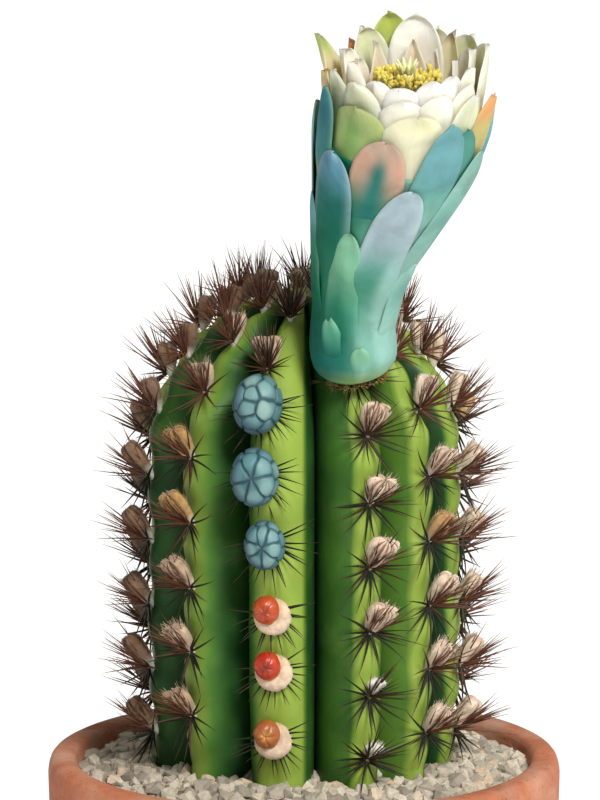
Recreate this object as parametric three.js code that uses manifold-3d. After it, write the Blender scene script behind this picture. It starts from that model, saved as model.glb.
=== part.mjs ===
// A columnar cactus in flower, standing in a plain clay pot.
// Millimetres, +Z up. The origin is the centre of the pot's foot, and the side that flowers faces -Y.
import * as THREE from "three";
import { mergeVertices } from "three/addons/utils/BufferGeometryUtils.js";
import Module from "manifold-3d";

const wasm = await Module();
wasm.setup();

const GAP = 0.3; // clearance that touching pieces keep

const POT = {
  height: 69,
  footRadius: 29,
  waistRadius: 38, // outside, right under the rim
  rimRadius: 42,
  rimHeight: 15,
  mouthRadius: 37.4,
  floorRadius: 25,
  floorThickness: 5,
  drainRadius: 5,
  roundness: 1.3,
  sides: 30,
};

const SOIL_TOP = 64;
const GRIT = { atStem: 69.2, atWall: 66.4, stoneSize: 3.6, roughness: 2.2 };

// The stem is measured along a rib's crest: up the straight part, then over the dome.
const STEM = {
  foot: 70, // height of the grit where the crests leave it
  buried: 12,
  crestRadius: 25.7,
  furrowRadius: 16,
  straight: 50,
  domeHeight: 27,
  domeRun: 41,
  domeSag: 3.5, // how far a furrow dips below the crests halfway over the dome
  dimple: 1.2,
  footTaper: 0.05,
  areolePitch: 10.7,
  lastAreole: 83,
};

// Each rib: its bearing from -Y towards +X in degrees, and the height of its lowest areole.
const RIBS = [
  [-75, 4.4],
  [-45, 9.8],
  [-11.7, 7.8],
  [24, 3.6],
  [51, 6.4],
  [76, 4.6],
  [110.8, 9.0],
  [145.7, 5.5],
  [180.5, 8.6],
  [215.3, 4.4],
  [250.2, 7.4],
].map(([bearing, firstAreole]) => ({ bearing, firstAreole }));

const BUD_RIB = 2; // the rib that carries the buds, the lowest three still young
const YOUNG_BUD_RADIUS = 2.2;
const BUD_RADII = [3.1, 3.55, 3.65];
const BUD_SHIFTS = [
  // to the right of the crest and up it, from the lowest bud
  [0, 0],
  [0.2, 0.8],
  [0, -0.6],
  [-0.6, 0.5],
  [-2.2, 0.9],
  [-2.4, 0.6],
];
const FLOWER_RIB = 3;
const FLOWER_AREOLE = 6;

const SPINE = { root: 0.36, lift: 0.9, clearOfGrit: 3 };

// Spines as [angle from up the rib, rise off the skin, length]: first on open areoles, the first two of
// them alone where the ribs crowd together, then round a bud.
const SPREAD = [
  [-28, 46, 9.8],
  [62, 34, 9.0],
  [-88, 28, 8.6],
  [165, 24, 7.6],
];
const CROWDED = 0.3; // share of the way over the dome
const SKIRT = [
  [85, 14, 5.6],
  [-85, 14, 5.6],
  [145, 12, 5.4],
  [-145, 12, 5.4],
];

const FLOWER = {
  mouth: 55, // distance along the axis from the base to the level of the anthers
  rightward: 8,
  forward: 10,
  upward: 53.1,
  baseLean: new THREE.Vector3(-0.15, -0.12, 0.98),
  baseReach: 22, // how far the axis follows its lean at the base
  mouthLean: new THREE.Vector3(-0.02, -0.225, 0.97),
  mouthReach: 17,
  baseRadius: 7.35,
  flare: 7,
  flareFrom: 12,
  flareTo: 48,
  tubeTop: 31,
  skin: 0.5, // how far the bare tube lies inside the outline of its scales
};

// The whorls of scales and petals. from and to are distances along the flower's axis, inset is how far
// a whorl lies inside the flower's outline, flare is how far its tips bend out, and stagger sets
// neighbours apart. Each whorl of petals stands on a disc of its own, stacked on the tube's top.
const SCALE_WHORLS = [
  { count: 3, phase: -20, from: 9, to: 28, width: 6.8, inset: 0.9, flare: 1.0, stagger: 0 },
  { count: 6, phase: -44, from: 20, to: 43.5, width: 8.2, inset: 0.9, flare: 1.0, stagger: 0 },
  { count: 8, phase: -10, from: 27, to: 50, width: 9.4, inset: 0.9, flare: 0.9, stagger: 0 },
];
const PETAL_WHORLS = [
  { name: "flower_outer_petals", count: 8, phase: 10, to: 54, width: 10.5, inset: 2.8, flare: 2.4 },
  { name: "flower_middle_petals", count: 8, phase: -8, to: 58, width: 10, inset: 4.7, flare: 3.6 },
  { name: "flower_inner_petals", count: 8, phase: 14, to: 60, width: 8, inset: 6.75, flare: 3.6 },
  { name: "flower_heart_petals", count: 6, phase: 30, to: 57, width: 6, inset: 9, flare: 2 },
].map((whorl, i) => ({ ...whorl, disc: 31.3 + 1.5 * i, from: 31.8 + 1.5 * i, stagger: 0.4 }));
const DISC_THICKNESS = 1.2;
const PETAL_THICKNESS = 0.7;

// Small helpers

const rad = THREE.MathUtils.degToRad;

function seededRandom(seed) {
  let state = seed;
  return () => {
    state = (state + 0x6d2b79f5) | 0;
    let t = Math.imul(state ^ (state >>> 15), 1 | state);
    t = (t + Math.imul(t ^ (t >>> 7), 61 | t)) ^ t;
    return ((t ^ (t >>> 14)) >>> 0) / 4294967296;
  };
}

function smoothstep(from, to, x) {
  return THREE.MathUtils.smoothstep(x, from, to);
}

// A point at a bearing from -Y towards +X.
function atBearing(bearing, radius, z) {
  return new THREE.Vector3(radius * Math.sin(bearing), -radius * Math.cos(bearing), z);
}

// Adds up vectors, each given with its weight.
function mix(...pairs) {
  return pairs.reduce((sum, [vector, weight]) => sum.addScaledVector(vector, weight), new THREE.Vector3());
}

function meanOf(points) {
  return points.reduce((sum, p) => sum.addScaledVector(p, 1 / points.length), new THREE.Vector3());
}

// A closed skin over a stack of rings with the same number of points, each end closed by a fan to a point.
function loft(rings, startPoint = meanOf(rings[0]), endPoint = meanOf(rings[rings.length - 1])) {
  const around = rings[0].length;
  const points = [...rings.flat(), startPoint, endPoint];
  const start = points.length - 2;
  const end = points.length - 1;
  const lastRing = (rings.length - 1) * around;
  const faces = [];
  for (let j = 0; j < around; j++) {
    const next = (j + 1) % around;
    for (let i = 0; i < rings.length - 1; i++) {
      const low = i * around;
      const high = low + around;
      faces.push(low + j, low + next, high + next, low + j, high + next, high + j);
    }
    faces.push(start, next, j, end, lastRing + j, lastRing + next);
  }
  const geometry = new THREE.BufferGeometry().setFromPoints(points);
  geometry.setIndex(faces);
  return facingOut(geometry);
}

function signedVolume(geometry) {
  const position = geometry.getAttribute("position");
  const [a, b, c] = [new THREE.Vector3(), new THREE.Vector3(), new THREE.Vector3()];
  let volume = 0;
  for (let i = 0; i < geometry.index.count; i += 3) {
    a.fromBufferAttribute(position, geometry.index.getX(i));
    b.fromBufferAttribute(position, geometry.index.getX(i + 1));
    c.fromBufferAttribute(position, geometry.index.getX(i + 2));
    volume += a.dot(b.cross(c)) / 6;
  }
  return volume;
}

function facingOut(geometry) {
  if (signedVolume(geometry) < 0) {
    const faces = geometry.index.array;
    for (let i = 0; i < faces.length; i += 3) [faces[i + 1], faces[i + 2]] = [faces[i + 2], faces[i + 1]];
  }
  return geometry;
}

function solid(geometry) {
  const bare = geometry.clone();
  bare.deleteAttribute("normal");
  bare.deleteAttribute("uv");
  const merged = mergeVertices(bare, 1e-4);
  return new wasm.Manifold(
    new wasm.Mesh({
      numProp: 3,
      vertProperties: new Float32Array(merged.getAttribute("position").array),
      triVerts: new Uint32Array(merged.index.array),
    }),
  );
}

function joined(solids) {
  return solids.reduce((sum, one) => sum.add(one));
}

// What a cut leaves loose is dropped.
function largestBody(cut) {
  return cut.decompose().reduce((best, body) => (body.volume() > best.volume() ? body : best));
}

function meshOf(name, shape, material) {
  const { numProp, vertProperties, triVerts } = shape.getMesh();
  const count = vertProperties.length / numProp;
  const positions = new Float32Array(count * 3);
  for (let i = 0; i < count; i++) {
    positions.set(vertProperties.subarray(i * numProp, i * numProp + 3), i * 3);
  }
  const geometry = new THREE.BufferGeometry();
  geometry.setAttribute("position", new THREE.BufferAttribute(positions, 3));
  geometry.setIndex(new THREE.BufferAttribute(new Uint32Array(triVerts), 1));
  const mesh = new THREE.Mesh(geometry, material);
  mesh.name = name;
  return mesh;
}

// A profile of [radius, height] pairs turned about the Z axis.
function turned(profile, sides) {
  const points = profile.map(([radius, height]) => new THREE.Vector2(radius, height));
  const geometry = new THREE.LatheGeometry(points, sides).rotateX(Math.PI / 2);
  geometry.deleteAttribute("normal");
  geometry.deleteAttribute("uv");
  return facingOut(mergeVertices(geometry, 1e-4));
}

// Pot, soil and grit

function potWallRadius(z) {
  const share = (z - POT.floorThickness) / (POT.height - POT.floorThickness);
  return POT.floorRadius + (POT.mouthRadius - POT.floorRadius) * share;
}

function pot() {
  const { height, roundness } = POT;
  const underRim = height - POT.rimHeight;
  const profile = [
    [POT.drainRadius, 0],
    [POT.footRadius - roundness, 0],
    [POT.footRadius, roundness],
    [POT.waistRadius, underRim],
    [POT.rimRadius - roundness, underRim],
    [POT.rimRadius - roundness / 2, underRim + roundness],
    [POT.rimRadius, height - roundness],
    [POT.rimRadius - roundness, height],
    [POT.mouthRadius + roundness / 2, height],
    [potWallRadius(height - roundness), height - roundness],
    [POT.floorRadius, POT.floorThickness],
    [POT.drainRadius, POT.floorThickness],
    [POT.drainRadius, 0],
  ];
  return solid(turned(profile, POT.sides));
}

function soil(seat) {
  const low = POT.floorThickness + GAP;
  const profile = [
    [0, low],
    [potWallRadius(low) - GAP, low],
    [potWallRadius(SOIL_TOP) - GAP, SOIL_TOP],
    [0, SOIL_TOP],
  ];
  return largestBody(solid(turned(profile, POT.sides)).subtract(seat));
}

function gritHeight(radius) {
  const share = smoothstep(STEM.crestRadius, POT.mouthRadius, radius);
  return GRIT.atStem + (GRIT.atWall - GRIT.atStem) * share;
}

// A layer of coarse stones heaped a little towards the stem. Its top is a ring of rows of points, each
// row half a step on from the last, and every other point is raised by a chance height.
function grit(seat) {
  const low = SOIL_TOP + GAP;
  const wall = potWallRadius(low) - GAP;
  const inside = STEM.furrowRadius - 1;
  const rows = Math.round((wall - inside) / GRIT.stoneSize);
  const random = seededRandom(11);
  const row = (i) => {
    const radius = inside + ((wall - inside) * i) / rows;
    const raised = (j) => ((i + j) % 2 || i === rows ? 0 : GRIT.roughness * (0.4 + 0.6 * random()));
    return Array.from({ length: POT.sides }, (_, j) =>
      atBearing(rad(180 + (360 * (j + (i % 2) / 2)) / POT.sides), radius, gritHeight(radius) + raised(j)),
    );
  };
  const top = Array.from({ length: rows + 1 }, (_, i) => row(i)).reverse();
  const foot = top[0].map((p) => new THREE.Vector3(p.x, p.y, low));
  return largestBody(solid(loft([foot, ...top])).subtract(seat));
}

// Stem

// Where a rib's crest and the furrow beside it run, at a distance h along the crest, as radius and
// height, and the way out of the crest there.
function meridian(h) {
  const up = Math.max(h, 0);
  const turn = Math.min(Math.max((up - STEM.straight) / STEM.domeRun, 0), 1) * (Math.PI / 2);
  const narrowing = Math.cos(turn) ** 1.15 * (1 - STEM.footTaper * Math.max(0, 1 - up / 20) ** 2);
  const crestRadius = STEM.crestRadius * narrowing;
  const dimple = STEM.dimple * Math.exp(-((crestRadius / 3) ** 2));
  const crestHeight = Math.min(h, STEM.straight) + STEM.domeHeight * Math.sin(turn) - dimple;
  return {
    crest: new THREE.Vector2(crestRadius, STEM.foot + crestHeight),
    furrow: new THREE.Vector2(
      STEM.furrowRadius * narrowing,
      STEM.foot + crestHeight - STEM.domeSag * Math.sin(2 * turn),
    ),
    out: new THREE.Vector2(Math.cos(turn), Math.sin(turn)),
  };
}

// The areoles' distances along a rib's crest, closer together towards the tip.
function areoleHeights(rib) {
  const heights = [];
  let h = rib.firstAreole;
  while (h < STEM.lastAreole) {
    heights.push(h);
    const overDome = Math.max(0, (h - STEM.straight) / STEM.domeRun);
    h += STEM.areolePitch * (1 - 0.5 * overDome);
  }
  return heights;
}

RIBS.forEach((rib, i) => {
  const before = RIBS[(i + RIBS.length - 1) % RIBS.length].bearing - (i === 0 ? 360 : 0);
  const after = RIBS[(i + 1) % RIBS.length].bearing + (i === RIBS.length - 1 ? 360 : 0);
  rib.toLeft = (rib.bearing - before) / 2;
  rib.toRight = (after - rib.bearing) / 2;
  rib.areoles = areoleHeights(rib);
});

// A point of a rib's skin. across runs from -1 in the furrow on its left, over 0 on the crest, to 1 in
// the furrow on its right.
function ribPoint(rib, across, h) {
  const { crest, furrow } = meridian(h);
  const fullness = (1 - Math.abs(across) ** 2.3) ** 0.72;
  const at = furrow.clone().lerp(crest, fullness);
  const bearing = rad(rib.bearing + across * (across < 0 ? rib.toLeft : rib.toRight));
  return atBearing(bearing, at.x, at.y);
}

const ACROSS_STEPS = [-1, -0.72, -0.4, 0, 0.4, 0.72];

function stemOutline(h) {
  return RIBS.flatMap((rib) => ACROSS_STEPS.map((across) => ribPoint(rib, across, h)));
}

function stemSkin() {
  const shares = [0, 0.2, 0.4, 0.6, 0.78, 0.92];
  const overDome = shares.map((share) => STEM.straight + share * STEM.domeRun);
  const levels = [-STEM.buried, 0, 10, 20, ...overDome];
  const rings = levels.map(stemOutline);
  const top = new THREE.Vector3(0, 0, meridian(STEM.straight + STEM.domeRun).crest.y);
  return loft(rings, undefined, top);
}

// A closed outline at one height, which runs anticlockwise seen from above, moved outwards by a distance.
function offsetOutline(points, distance) {
  const outward = (from, to) => new THREE.Vector2(to.y - from.y, from.x - to.x).normalize();
  return points.map((p, i) => {
    const before = outward(points.at(i - 1), p);
    const after = outward(p, points[(i + 1) % points.length]);
    const reach = distance / (1 + before.dot(after));
    return new THREE.Vector3(p.x + reach * (before.x + after.x), p.y + reach * (before.y + after.y), p.z);
  });
}

// The room that the stem's foot takes in the soil and the grit, with clearance all round.
function stemRoom() {
  const wider = offsetOutline(stemOutline(GRIT.roughness), GAP);
  const atHeight = (z) => wider.map((p) => new THREE.Vector3(p.x, p.y, z));
  return solid(loft([atHeight(STEM.foot - STEM.buried - GAP), atHeight(STEM.foot + GRIT.roughness)]));
}

// The place of an areole, with the ways out of the stem, up its rib and sideways.
function crestFrame(rib, h) {
  const bearing = rad(rib.bearing);
  const { crest, out: slope } = meridian(h);
  const out = atBearing(bearing, slope.x, slope.y);
  const place = atBearing(bearing, crest.x, crest.y);
  const side = new THREE.Vector3(Math.cos(bearing), Math.sin(bearing), 0);
  const up = new THREE.Vector3().crossVectors(side, out).multiplyScalar(-1);
  if (up.z < 0) up.multiplyScalar(-1);
  return { place, out, up, side };
}

// A frame moved along the skin, which falls away to both sides of the crest.
function shifted(frame, [aside, rise]) {
  const { place, out, up, side } = frame;
  return { ...frame, place: mix([place, 1], [side, aside], [up, rise], [out, -0.11 * aside ** 2]) };
}

// A ring of points round a way, starting at a given angle.
function ringRound(centre, way, radius, points, start = 0) {
  const across = Math.abs(way.z) < 0.9 ? new THREE.Vector3(0, 0, 1) : new THREE.Vector3(0, 1, 0);
  const first = new THREE.Vector3().crossVectors(way, across).normalize();
  const second = new THREE.Vector3().crossVectors(way, first).normalize();
  return Array.from({ length: points }, (_, i) => {
    const angle = start + (2 * Math.PI * i) / points;
    return mix([centre, 1], [first, radius * Math.cos(angle)], [second, radius * Math.sin(angle)]);
  });
}

// An areole's wool: a brush that widens outwards and up, and ends in a low point.
function woolTuft({ place, out, up }, size) {
  const way = mix([out, 0.72], [up, 0.7]).normalize();
  const point = (along) => mix([place, 1], [way, along * size]);
  const ring = (along, radius) => ringRound(point(along), way, radius * size, 4, Math.PI / 4);
  return solid(loft([ring(-1.2, 1.3), ring(4.2, 2.5)], undefined, point(5.6)));
}

// A low collar of wool under a bud or the flower.
function woolCollar({ place, out }, radius) {
  const ring = (along, share) => ringRound(mix([place, 1], [out, along]), out, share * radius, 7);
  return solid(loft([ring(-1, 1), ring(1.1, 0.9)]));
}

// A spine with a three-sided foot sunk into the areole. around turns from up the rib to its side, rise
// lifts the spine off the skin, and a spine low on the stem is bent clear of the grit.
function spine({ place, out, up, side }, around, rise, length) {
  const flat = mix([up, Math.cos(around)], [side, Math.sin(around)]);
  const way = mix([flat, Math.cos(rise)], [out, Math.sin(rise)]);
  const lowest = STEM.foot + SPINE.clearOfGrit;
  if (place.z + way.z * length < lowest) way.z = Math.max((lowest - place.z) / length, -0.1);
  way.normalize();
  const foot = mix([place, 1], [out, SPINE.lift]);
  return solid(loft([ringRound(foot, way, SPINE.root, 3)], undefined, mix([foot, 1], [way, length])));
}

// An areole's spines. They stand steeper where the ribs run together.
function areoleSpines(frame, set, crowding, random) {
  return set.map(([around, rise, length]) => {
    const steeper = rise + (72 - rise) * crowding;
    const swung = around + 14 * (random() - 0.5);
    return spine(frame, rad(swung), rad(steeper), length * (0.9 + 0.3 * random()));
  });
}

// Buds

// A knob of rounded scales: one at the tip and a ring of five round it.
function budShape({ place, out, up, side }, radius, grow = 0) {
  const knob = (outward, off, angle, size) => {
    const geometry = new THREE.IcosahedronGeometry(size + grow, 0);
    geometry.deleteAttribute("normal");
    geometry.deleteAttribute("uv");
    const centre = mix(
      [place, 1],
      [out, outward],
      [up, off * 1.12 * Math.cos(angle)],
      [side, off * Math.sin(angle)],
    );
    geometry.translate(centre.x, centre.y, centre.z);
    return solid(geometry);
  };
  const ring = (count, outward, off, size, start) =>
    Array.from({ length: count }, (_, i) => knob(outward, off, start + (2 * Math.PI * i) / count, size));
  return joined([
    knob(0.8 * radius, 0, 0, 0.95 * radius),
    knob(1.45 * radius, 0, 0, 0.52 * radius),
    ...ring(5, 0.95 * radius, 0.62 * radius, 0.55 * radius, 0.3),
  ]);
}

function youngBudShape({ place, out }, grow = 0) {
  const geometry = new THREE.IcosahedronGeometry(YOUNG_BUD_RADIUS + grow, 1);
  geometry.deleteAttribute("normal");
  geometry.deleteAttribute("uv");
  const centre = mix([place, 1], [out, 1.5]);
  geometry.translate(centre.x, centre.y, centre.z);
  return solid(geometry);
}

// Flower

const flowerFoot = crestFrame(RIBS[FLOWER_RIB], RIBS[FLOWER_RIB].areoles[FLOWER_AREOLE]);
const flowerBase = mix([flowerFoot.place, 1], [flowerFoot.out, 0.6], [flowerFoot.up, -1.2]);
const flowerMouth = mix(
  [flowerBase, 1],
  [new THREE.Vector3(FLOWER.rightward, -FLOWER.forward, FLOWER.upward), 1],
);
const flowerAxis = new THREE.CubicBezierCurve3(
  flowerBase,
  mix([flowerBase, 1], [FLOWER.baseLean.normalize(), FLOWER.baseReach]),
  mix([flowerMouth, 1], [FLOWER.mouthLean.normalize(), -FLOWER.mouthReach]),
  flowerMouth,
);

// A point of the flower at a distance along its axis, a bearing round it, and a radius.
function flowerPoint(along, bearing, radius) {
  const share = THREE.MathUtils.clamp(along / FLOWER.mouth, 0, 1);
  const way = flowerAxis.getTangentAt(share);
  const centre = flowerAxis.getPointAt(share).addScaledVector(way, along - share * FLOWER.mouth);
  const front = new THREE.Vector3(0, -1, 0).addScaledVector(way, way.y).normalize();
  const right = new THREE.Vector3().crossVectors(way, front).multiplyScalar(-1);
  if (right.x < 0) right.multiplyScalar(-1);
  return mix([centre, 1], [front, radius * Math.cos(bearing)], [right, radius * Math.sin(bearing)]);
}

function flowerRadius(along) {
  const rounded = 1 - Math.exp(-(Math.max(along, 0) + 0.25) / 1.5);
  return FLOWER.baseRadius * rounded + FLOWER.flare * smoothstep(FLOWER.flareFrom, FLOWER.flareTo, along);
}

function flowerRing(along, radius, points = 15) {
  return Array.from({ length: points }, (_, i) => flowerPoint(along, (2 * Math.PI * i) / points, radius));
}

// A blade on the flower: an arched strip with a round tip, rooted where it starts.
function blade(whorl, bearing, lengthening, shift) {
  const levels = [0, 0.5, 0.85, 1];
  const across = [-1, 0, 1];
  const to = whorl.to + lengthening;
  const rings = levels.map((level) => {
    const along = whorl.from + (to - whorl.from) * level;
    const radius = flowerRadius(along) - whorl.inset + shift + whorl.flare * level ** 3;
    const fullness = (0.75 + 0.25 * Math.sin(0.8 * Math.PI * level)) * (1 - 0.62 * level ** 6);
    const half = (whorl.width / 2) * fullness;
    const layer = (lift) =>
      across.map((u) => {
        const curl = 0.35 * u * u * level;
        const bulge = 0.8 * (1 - u * u) * level;
        return flowerPoint(along + bulge, bearing + (u * half) / radius, radius + lift - curl);
      });
    return [...layer(PETAL_THICKNESS / 2), ...layer(-PETAL_THICKNESS / 2).reverse()];
  });
  return solid(loft(rings));
}

function blades(whorls, seed) {
  const random = seededRandom(seed);
  return whorls.flatMap((whorl) =>
    Array.from({ length: whorl.count }, (_, i) => {
      const bearing = rad(whorl.phase + (360 * i) / whorl.count + 6 * (random() - 0.5));
      return blade(whorl, bearing, 2.4 * (random() - 0.5), whorl.stagger * (i % 2 ? 1 : -1));
    }),
  );
}

function flowerTube() {
  const levels = [0, 0.7, 2.2, 5, 14, 22, FLOWER.tubeTop];
  const radius = (along) => flowerRadius(along) - FLOWER.skin * smoothstep(3, 12, along);
  const body = solid(loft(levels.map((along) => flowerRing(along, radius(along)))));
  return joined([body, ...blades(SCALE_WHORLS, 21)]);
}

// The tube's own room, close at its base and wider further up, which no spine enters.
function flowerRoom() {
  const levels = [-0.35, 0.2, 1, 2.6, 5, 9, 14, 20, 26, 33];
  const room = (along) => flowerRadius(along) + 0.35 + 1.1 * smoothstep(3, 12, along);
  return solid(loft(levels.map((along) => flowerRing(along, room(along)))));
}

function petals(whorl, seed) {
  const ends = [whorl.disc, whorl.disc + DISC_THICKNESS];
  const disc = loft(ends.map((along) => flowerRing(along, flowerRadius(along) - whorl.inset)));
  return joined([solid(disc), ...blades([whorl], seed)]);
}

// A ring of filaments with anthers, standing out of a slim core.
function stamens() {
  const core = loft([flowerRing(37.4, 2, 10), flowerRing(44, 3, 10), flowerRing(49.5, 4, 10)]);
  const random = seededRandom(31);
  const count = 12;
  const filaments = Array.from({ length: count }, (_, i) => {
    const bearing = (2 * Math.PI * i) / count + 0.1 * random();
    const inner = i % 2;
    const top = 54 + 1.6 * random();
    const reach = (inner ? 3.5 : 4.5) + 0.3 * random();
    const ring = (along, radius, thickness) => {
      const centre = flowerPoint(along, bearing, radius);
      return ringRound(centre, flowerAxis.getTangentAt(1), thickness, 3);
    };
    const rings = [ring(48, 2.9, 0.35), ring(top - 1.2, reach, 0.4), ring(top - 0.6, reach, 0.62)];
    return solid(loft(rings, undefined, flowerPoint(top + 0.5, bearing, reach)));
  });
  return joined([solid(core), ...filaments]);
}

// The style, with the lobes of the stigma spread at its end.
function style() {
  const rod = loft([flowerRing(49.8, 0.8, 8), flowerRing(54, 0.8, 8), flowerRing(54.8, 1.1, 8)]);
  const lobes = Array.from({ length: 5 }, (_, i) => {
    const bearing = (2 * Math.PI * i) / 5;
    const from = flowerPoint(54.4, bearing, 0.5);
    const to = flowerPoint(56.8, bearing, 1.9);
    const way = to.clone().sub(from).normalize();
    return solid(loft([ringRound(from, way, 0.45, 4)], undefined, to));
  });
  return joined([solid(rod), ...lobes]);
}

// The stem with its wool and spines, cut clear of the flower and the buds

function stem(skin, buds, youngBuds) {
  const random = seededRandom(41);
  const pieces = [solid(skin)];
  RIBS.forEach((rib, ribIndex) => {
    rib.areoles.forEach((h, k) => {
      const underBud = ribIndex === BUD_RIB && k < BUD_SHIFTS.length;
      const frame = underBud ? budFrames[k] : crestFrame(rib, h);
      const crowding = Math.max(0, (h - STEM.straight) / STEM.domeRun);
      const underFlower = ribIndex === FLOWER_RIB && k === FLOWER_AREOLE;
      if (underFlower || underBud) {
        pieces.push(woolCollar(frame, underFlower ? 4.2 : 2.9), ...areoleSpines(frame, SKIRT, 0, random));
      } else {
        const set = crowding > CROWDED ? SPREAD.slice(0, 2) : SPREAD;
        pieces.push(woolTuft(frame, 1 - 0.35 * crowding), ...areoleSpines(frame, set, crowding, random));
      }
    });
  });
  return largestBody(joined(pieces).subtract(joined([flowerRoom(), ...buds, ...youngBuds])));
}

// Assembly

function material(color, roughness) {
  return new THREE.MeshStandardMaterial({ color, roughness, metalness: 0 });
}

const clay = material(0xc08a68, 0.9);
const earth = material(0x4a3527, 1);
const gritStone = material(0xcfc6b4, 0.9);
const skinGreen = material(0x5f9034, 0.55);
const tealGreen = material(0x57a08c, 0.5);
const budBlue = material(0x5f8b8c, 0.6);
const budRed = material(0xc4502a, 0.5);
const petalColors = [0xcdd6a4, 0xf0eccd, 0xf6f0dc, 0xf9f4e4];
const antherYellow = material(0xe9dc6a, 0.8);
const stigmaCream = material(0xe8e6b8, 0.6);

const skin = stemSkin();
const seat = stemRoom();
const budFrames = BUD_SHIFTS.map((shift, k) => {
  return shifted(crestFrame(RIBS[BUD_RIB], RIBS[BUD_RIB].areoles[k]), shift);
});
const youngFrames = budFrames.slice(0, 3);
const openingFrames = budFrames.slice(3);

const group = new THREE.Group();
group.add(
  meshOf("pot", pot(), clay),
  meshOf("soil", soil(seat), earth),
  meshOf("grit", grit(seat), gritStone),
  meshOf(
    "stem",
    stem(
      skin,
      openingFrames.map((frame, i) => budShape(frame, BUD_RADII[i], GAP)),
      youngFrames.map((frame) => youngBudShape(frame, GAP)),
    ),
    skinGreen,
  ),
  meshOf("flower_tube", flowerTube(), tealGreen),
  ...PETAL_WHORLS.map((whorl, i) => meshOf(whorl.name, petals(whorl, 22 + i), material(petalColors[i], 0.5))),
  meshOf("flower_stamens", stamens(), antherYellow),
  meshOf("flower_style", style(), stigmaCream),
);
openingFrames.forEach((frame, i) => {
  group.add(meshOf(`bud_${i + 1}`, budShape(frame, BUD_RADII[i]), budBlue));
});
youngFrames.forEach((frame, i) => {
  group.add(meshOf(`young_bud_${i + 1}`, youngBudShape(frame), budRed));
});

export default group;
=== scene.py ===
"""A flowering columnar cactus in a clay pot, dressed round its packed CAD frame."""

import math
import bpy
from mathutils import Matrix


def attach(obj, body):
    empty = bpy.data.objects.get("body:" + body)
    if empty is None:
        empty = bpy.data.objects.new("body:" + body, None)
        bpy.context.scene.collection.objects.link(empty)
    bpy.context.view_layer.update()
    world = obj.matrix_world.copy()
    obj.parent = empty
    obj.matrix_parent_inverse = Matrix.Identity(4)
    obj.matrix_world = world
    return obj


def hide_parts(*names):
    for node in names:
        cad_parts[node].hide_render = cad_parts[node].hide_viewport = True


bl_info = {
    "name": "Potted flowering cactus",
    "version": (1, 0, 0),
    "blender": (4, 5, 0),
    "location": "3D View > Sidebar > Cactus",
    "description": "Makes a potted columnar cactus with its wool, spines, buds and flower",
    "category": "Object",
}

import bmesh
import bpy
import numpy as np
from bpy.props import FloatProperty, FloatVectorProperty, IntProperty, PointerProperty
from mathutils import Vector, noise

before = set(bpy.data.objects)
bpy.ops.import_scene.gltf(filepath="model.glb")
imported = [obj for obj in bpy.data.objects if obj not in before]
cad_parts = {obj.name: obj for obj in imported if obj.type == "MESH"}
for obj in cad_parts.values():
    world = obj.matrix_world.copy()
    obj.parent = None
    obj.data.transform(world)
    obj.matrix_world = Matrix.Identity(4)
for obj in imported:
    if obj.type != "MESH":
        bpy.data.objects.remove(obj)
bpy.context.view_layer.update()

# Sizes, in millimetres as in the CAD

MM = 0.001

FOOT_Z = 70.0
BURIED = 12.0
CREST_RADIUS = 25.7
FURROW_RADIUS = 16.0
STRAIGHT = 50.0
DOME_HEIGHT = 27.0
DOME_RUN = 41.0
DOME_SAG = 3.5
DIMPLE = 1.2
FOOT_TAPER = 0.05
AREOLE_PITCH = 10.7
LAST_AREOLE = 83.0
TIP = STRAIGHT + DOME_RUN

RIB_BEARINGS = [-75, -45, -11.7, 24, 51, 76, 110.8, 145.7, 180.5, 215.3, 250.2]
FIRST_AREOLES = [4.4, 9.8, 7.8, 3.6, 6.4, 4.6, 9.0, 5.5, 8.6, 4.4, 7.4]
BUD_RIB = 2
BUD_COUNT = 6
FLOWER_RIB = 3
FLOWER_AREOLE = 6
WHITE_AREOLES = 2
# Areoles off their crest or their even spacing, by rib and number: how far to the right and up the rib.
SHIFTS = {
    (2, 1): (0.2, 0.8),
    (2, 2): (0.0, -0.6),
    (2, 3): (-0.6, 0.5),
    (2, 4): (-2.2, 0.9),
    (2, 5): (-2.4, 0.6),
    (2, 6): (-2.1, -2.3),
}
GOLDEN_AREOLES = {(1, 3), (1, 4), (4, 3), (8, 2), (6, 4)}

POT_RIM_HEIGHT = 15.0
POT_FOOT_RADIUS = 29.0
POT_NECK_RADIUS = 38.0
DRAIN_RADIUS = 5.0
SOIL_TOP = 64.0
MOUTH_RADIUS = 37.4
FLOOR_RADIUS = 25.0
FLOOR_THICKNESS = 5.0
GRIT_RADIUS = 36.2
GRIT_TOP = 69.2
GRIT_FALL = 2.8

MOUTH = 55.0
BASE_LEAN = (-0.15, -0.12, 0.98)
MOUTH_LEAN = (-0.02, -0.225, 0.97)
BASE_REACH = 22.0
MOUTH_REACH = 17.0
FLOWER_RUN = (8.0, -10.0, 53.1)
TUBE_RADIUS = 7.35
TUBE_FLARE = 7.0
FLARE_START, FLARE_END = 12, 48


# Small helpers


def linear(red, green, blue):
    """A colour given as 0 to 255, as the linear values that a shader reads."""
    channels = np.array([red, green, blue]) / 255
    return np.where(channels <= 0.04045, channels / 12.92, ((channels + 0.055) / 1.055) ** 2.4)


def unit(vectors):
    return vectors / np.linalg.norm(vectors, axis=-1, keepdims=True)


def smoothstep(start, end, x):
    share = np.clip((x - start) / (end - start), 0, 1)
    return share * share * (3 - 2 * share)


def blend_colours(first, second, share):
    share = np.asarray(share)[..., None]
    return first * (1 - share) + second * share


def at_bearing(bearing, radius, z):
    """A point at a bearing from -Y towards +X."""
    bearing, radius, z = np.broadcast_arrays(bearing, radius, z)
    return np.stack([radius * np.sin(bearing), -radius * np.cos(bearing), z], -1)


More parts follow.
